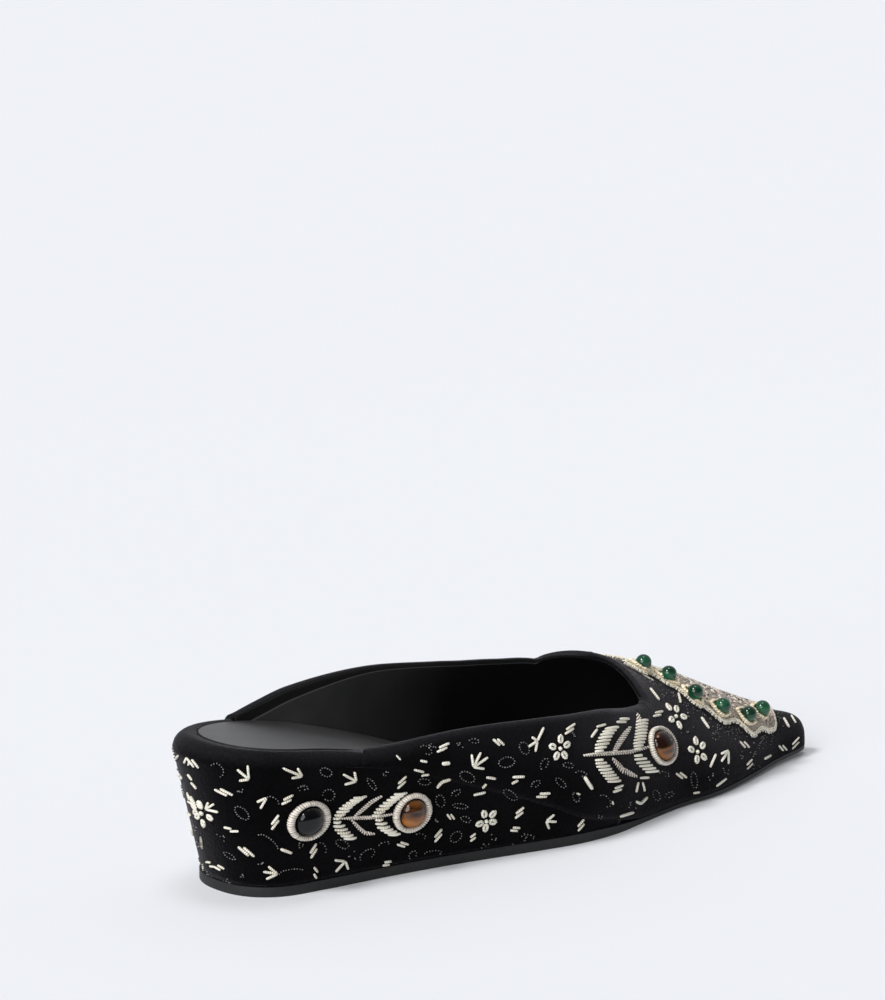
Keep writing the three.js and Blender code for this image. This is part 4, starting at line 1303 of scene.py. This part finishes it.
for scroll in SEED_SCROLLS:
    turn = math.radians(scroll.turn)
    axes = np.array([[math.cos(turn), math.sin(turn)], [-math.sin(turn), math.cos(turn)]])
    angles = np.linspace(0, 2 * math.pi * scroll.share, SCROLL_POINTS) + math.pi
    oval = np.stack([np.cos(angles) * scroll.long, np.sin(angles) * scroll.broad], -1)
    line = np.array(scroll[:2]) + oval @ axes
    for side in path_on_shoe(line, max(3, int(run(line)[-1] * PIXEL / SEED_PITCH))):
        for place, normal in side:
            seeds.seed(place, normal, SEED * CHANCE.uniform(*SEED_SIZES), CHANCE.random())
for cluster in SEED_CLUSTERS:
    for _ in range(CLUSTER):
        hit = at_pixel(*(middle + CHANCE.gauss(0, spread) for middle, spread in zip(cluster, CLUSTER_SPREAD)))
        for place in (hit, hit and on_other_side(hit[0])):
            if place:
                seeds.seed(*place, SEED, CHANCE.random())

# Embroidered panel on the toe: a padded ground, cords round the beads, chips of metal thread, a fringed edge
PANEL_COLUMNS = 44
PANEL_ROWS = 60
PANEL_TOP = PANEL_LIFT + PANEL
FIRST_X = BORDER[0].x
LAST_X = BORDER[-1].x
EDGE_STEPS = 120
FRONT_STEPS = 30
NOTCH_STEPS = 40


def panel_place(share, way):
    """A point of the panel: share across it from -1 to 1, way along it from 0 to 1."""
    start = FIRST_X + NOTCH * (1 - np.abs(share)) ** NOTCH_CURVE
    x = start + (LAST_X - start) * way
    across = np.abs(share) * panel_share(np.sign(share) * reach_at(x))
    return vamp_point(x + PANEL_SKEW * share, across, PANEL_TOP)


def build_panel():
    def shape(column, row):
        return panel_place(column / PANEL_COLUMNS * 2 - 1, row / PANEL_ROWS)

    bm = shaped_grid(PANEL_COLUMNS, PANEL_ROWS, shape)[0]
    bmesh.ops.recalc_face_normals(bm, faces=bm.faces)
    if sum(f.normal.z for f in bm.faces) < 0:
        bmesh.ops.reverse_faces(bm, faces=bm.faces)
    bmesh.ops.solidify(bm, geom=bm.faces[:], thickness=PANEL)
    return bm


def panel_border():
    """The line round the panel's edge."""
    sides = (
        panel_place(np.full(EDGE_STEPS, -1.0), np.linspace(0, 1, EDGE_STEPS))[:-1],
        panel_place(np.linspace(-1, 1, FRONT_STEPS), np.ones(FRONT_STEPS))[:-1],
        panel_place(np.full(EDGE_STEPS, 1.0), np.linspace(1, 0, EDGE_STEPS))[:-1],
        panel_place(np.linspace(1, -1, NOTCH_STEPS), np.zeros(NOTCH_STEPS)),
    )
    return np.concatenate(sides)


panel_mesh = build_panel()
PANEL_WALL = (BVHTree.FromBMesh(panel_mesh),)
finish_piece(panel_mesh, "panel_ground", [PANEL_GROUND], "gold_thread", ["vamp_panel"])

CHIPS = 1100
CHIP_LENGTH = (1.1, 2.4)
CHIP_SHARE = (-0.9, 0.9)
CHIP_WAY = (0.02, 0.97)
CHIP_STEP = 0.01
CHIP_TURN = 0.7
CHIP_SIZES = (0.8, 1.25)
CHIP_LIFT = 0.15
CHIP_THREAD = 0.25
FRINGE_PITCH = 0.34
FRINGE_LENGTH = (0.9, 2.2)
FRINGE_ROOT = (-0.8, 0.25)
FRINGE_BEND = (0.2, 0.2)
FRINGE_TIP = (0.6, -0.5)
FRINGE_LEAN = 0.5
FRINGE_TONES = (0, 0.9)
FRINGE_THREAD = 0.17
LENS_FRAME = (4.4, 2.95)
LENS_STEP = 0.5
LENS_POINTS = 13
CORD_BEAD = 0.78
CORD_PITCH = 1.15 * CORD_BEAD
CORD_LIFT = 0.5
CORD_SIZES = (0.85, 1.15)
CORD_TONES = (0.2, 1)
EDGE_BEAD = 0.3
EDGE_PITCH = 1.7 * EDGE_BEAD
EDGE_SIZES = (0.8, 1.15)
SPECKLES = 520
SPECKLE_FROM = 1.4
SPECKLE_REACH = 2.25
SPECKLE_BACK = THROAT + 3
SPECKLE_SIZES = (0.6, 0.95)

for _ in range(CHIPS):
    share, way = CHANCE.uniform(*CHIP_SHARE), CHANCE.uniform(*CHIP_WAY)
    spot = panel_place(share, way)
    ahead = unit(panel_place(share, way + CHIP_STEP) - spot)
    normal = turned_to(unit(np.cross(ahead, panel_place(share + CHIP_STEP, way) - spot)), UPWARD)
    turn = CHANCE.gauss(0, CHIP_TURN)
    chip = ahead * math.cos(turn) + np.cross(normal, ahead) * math.sin(turn)
    chip *= CHANCE.uniform(*CHIP_LENGTH) / 2
    chips.stroke(
        [spot - chip, spot, spot + chip], [normal] * 3, CHIP_THREAD * CHANCE.uniform(*CHIP_SIZES), CHIP_LIFT,
        CHANCE.random(), rings=4, sides=5,
    )

edge_line = panel_border()
border = even_path(edge_line, FRINGE_PITCH)


def border_frame(i):
    """A place of the panel's edge, with the way out of the panel and the normal of the upper."""
    normal = turned_to(nearest_on(WALLS, border[i])[1], UPWARD)
    ahead = border[(i + 1) % len(border)] - border[i - 1]
    return border[i], unit(np.cross(ahead, normal)), normal


for i in range(len(border)):
    spot, out, normal = border_frame(i)
    out = out + np.cross(normal, out) * CHANCE.gauss(0, FRINGE_LEAN)
    reach = CHANCE.uniform(*FRINGE_LENGTH)
    turns = FRINGE_ROOT, FRINGE_BEND, (FRINGE_TIP[0] * reach, FRINGE_TIP[1])
    path = [spot + out * far + normal * high for far, high in turns]
    fringe.stroke(path, [normal] * 3, FRINGE_THREAD, 0.0, CHANCE.uniform(*FRINGE_TONES), rings=4, sides=5)
for spot in even_path(edge_line, EDGE_PITCH):
    cords.seed(spot, UPWARD, EDGE_BEAD * CHANCE.uniform(*EDGE_SIZES), CHANCE.random())

for _, x, across in bead_places:
    spot = vamp_point(x, across, PANEL_TOP)
    axis = vamp_point(x, across, PANEL_TOP + 1) - spot
    widening = reach_at(x + LENS_STEP) / reach_at(x)
    ahead = vamp_point(x + LENS_STEP, across * widening, PANEL_TOP) - spot
    ahead = unit(ahead - axis * (ahead @ axis))
    aside = np.cross(axis, ahead)
    for bow in (-1, 1):
        arc = [
            spot + ahead * LENS_FRAME[0] * t + aside * bow * LENS_FRAME[1] * (1 - t * t)
            for t in np.linspace(-1, 1, LENS_POINTS)
        ]
        arc = np.array([nearest_on(PANEL_WALL, place)[0] for place in arc])
        for place in even_path(arc, CORD_PITCH):
            size = CORD_BEAD * CHANCE.uniform(*CORD_SIZES)
            cords.seed(place + CORD_LIFT * axis, axis, size, CHANCE.uniform(*CORD_TONES))

for _ in range(SPECKLES):
    spot, out, normal = border_frame(CHANCE.randrange(1, len(border) - 1))
    far = SPECKLE_FROM + abs(CHANCE.gauss(0, SPECKLE_REACH))
    place, face = nearest_on(WALLS[1:], spot + out * far)
    if place[0] > SPECKLE_BACK:
        size = SEED * CHANCE.uniform(*SPECKLE_SIZES)
        seeds.seed(place, turned_to(face, normal), size, CHANCE.random())

for stitches in (purl, satin, stems, seeds, chips, fringe, cords):
    stitches.piece()

# Stitched rings round the stones
RING_STEPS = 100
RING_ROWS = 12
RING_RIDGE = 0.3
RING_UNEVEN = 0.09
RING_SIDE = 0.4
RING_FULLNESS = 0.8
RING_PALE = (0.6, 1)
RING_DIP_SHADE = (0, 0.35)


def build_ring(seat, stone, ring):
    middle = [(ring[i] + stone[i]) / 4 + GAP / 2 for i in range(2)]
    band = [(ring[i] - stone[i]) / 4 - GAP / 2 for i in range(2)]
    uneven = np.array([CHANCE.uniform(-RING_UNEVEN, RING_UNEVEN) for _ in range(RING_STEPS)])

    def shape(column, row):
        turn = column / RING_STEPS * 2 * np.pi
        round_turn = row / RING_ROWS * 2 * np.pi
        dip = RING_RIDGE * (column % 2)
        out = np.cos(round_turn) * (1 - RING_SIDE * dip + uneven[column % RING_STEPS])
        high = GAP + RING_HIGH * (1 - dip) * np.maximum(0, np.sin(round_turn)) ** RING_FULLNESS
        along = (middle[0] + out * band[0]) * np.cos(turn)
        return seat.lay(along, (middle[1] + out * band[1]) * np.sin(turn), high)

    bm = bmesh.new()
    stitch = bm.verts.layers.float.new("stitch")
    made, column, _ = shaped_grid(RING_STEPS, RING_ROWS, shape, bm)[1:]
    # dipped stitches get dark values, painted shade in the grooves; raised ones a random pale tone
    tones = [CHANCE.uniform(*(RING_DIP_SHADE if i % 2 else RING_PALE)) for i in range(RING_STEPS)]
    for vert, number in zip(made, column):
        vert[stitch] = tones[number % RING_STEPS]
    bmesh.ops.remove_doubles(bm, verts=bm.verts, dist=MERGE)
    return bm


for stone, side_name, seat in stone_seats:
    finish_piece(
        build_ring(seat, stone.stone, stone.ring), f"{stone.name}_stitched_ring_{side_name}", [RING_THREAD],
        "gold_thread", [f"{stone.name}_ring_{side_name}"],
    )

# Camera, floor and light
camera = bpy.data.objects.new("photo_camera", bpy.data.cameras.new("photo_camera"))
camera.data.sensor_width = SENSOR
camera.data.sensor_fit = "HORIZONTAL"
camera.data.lens = LENS
camera.data.clip_end = 100
camera_place = Matrix.Translation(TO_FRAME @ Vector(EYE))
camera.matrix_world = camera_place @ Matrix((RIGHT, UP, BACK)).transposed().to_4x4()
bpy.context.scene.collection.objects.link(camera)
bpy.context.scene.camera = camera

FLOOR_SIZE = 40
FLOOR_COLOUR = (0.855, 0.871, 0.905)
FLOOR_GLOW = 0.06
FLOOR_ALBEDO = 0.92
FLOOR_DULL = 0.98


def floor_material():
    shader = Shader("pale_floor")
    pale, dull = (tuple(FLOOR_ALBEDO * share * c for c in FLOOR_COLOUR) for share in (1, FLOOR_DULL))
    return shader.finish(
        Base_Color=shader.ramp(shader.noise(0.8), (0.3, pale), (0.7, dull)), Roughness=0.95,
        Specular_IOR_Level=0.0, Emission_Color=(*FLOOR_COLOUR, 1), Emission_Strength=FLOOR_GLOW,
    )


floor_mesh = bmesh.new()
bmesh.ops.create_grid(floor_mesh, x_segments=1, y_segments=1, size=FLOOR_SIZE / 2)
mesh = bpy.data.meshes.new("floor")
floor_mesh.to_mesh(mesh)
floor_mesh.free()
mesh.materials.append(floor_material())
floor = bpy.data.objects.new("floor", mesh)
bpy.context.scene.collection.objects.link(floor)

# Even soft light over the whole floor, from a direction to the right, upward and towards the camera
LAMPS = table(
    "name right up near angle strength",
    ("window", -0.45, 0.5, 0.85, 40, 1.7),
    ("heel_side", -0.55, 0.95, 0.42, 14, 1.65),
    ("ceiling", 0, 1, -0.12, 20, 0.5),
)
LEVEL_BACK = unit(BACK * (1, 1, 0))
for lamp in LAMPS:
    toward = lamp.right * RIGHT + lamp.up * UPWARD + lamp.near * LEVEL_BACK
    light = bpy.data.lights.new(lamp.name, "SUN")
    light.angle = math.radians(lamp.angle)
    light.energy = lamp.strength
    holder = bpy.data.objects.new(lamp.name, light)
    turn = Vector(toward).to_track_quat("Z", "Y").to_matrix().to_4x4()
    holder.matrix_world = Matrix.Translation((0, 0, 1)) @ turn
    bpy.context.scene.collection.objects.link(holder)

world = bpy.data.worlds.new("studio")
world.use_nodes = True
sky = Shader("studio", world.node_tree)
direction = sky.place("Generated")
nearness = sky.node("VectorMath", {"operation": "DOT_PRODUCT"}, i0=direction, i1=tuple(LEVEL_BACK))
glow = sky.ramp(
    sky.math("MULTIPLY_ADD", nearness.outputs["Value"], 0.5, 0.5), (0.0, (0.7, 0.71, 0.73)),
    (0.3, (0.35, 0.355, 0.365)), (0.6, (0.06, 0.06, 0.062)), (1.0, (0.05, 0.05, 0.052)),
)
sky.feed(world.node_tree.nodes["Background"], Color=glow, Strength=1.0)
bpy.context.scene.world = world
bpy.context.scene.view_settings.view_transform = "Standard"
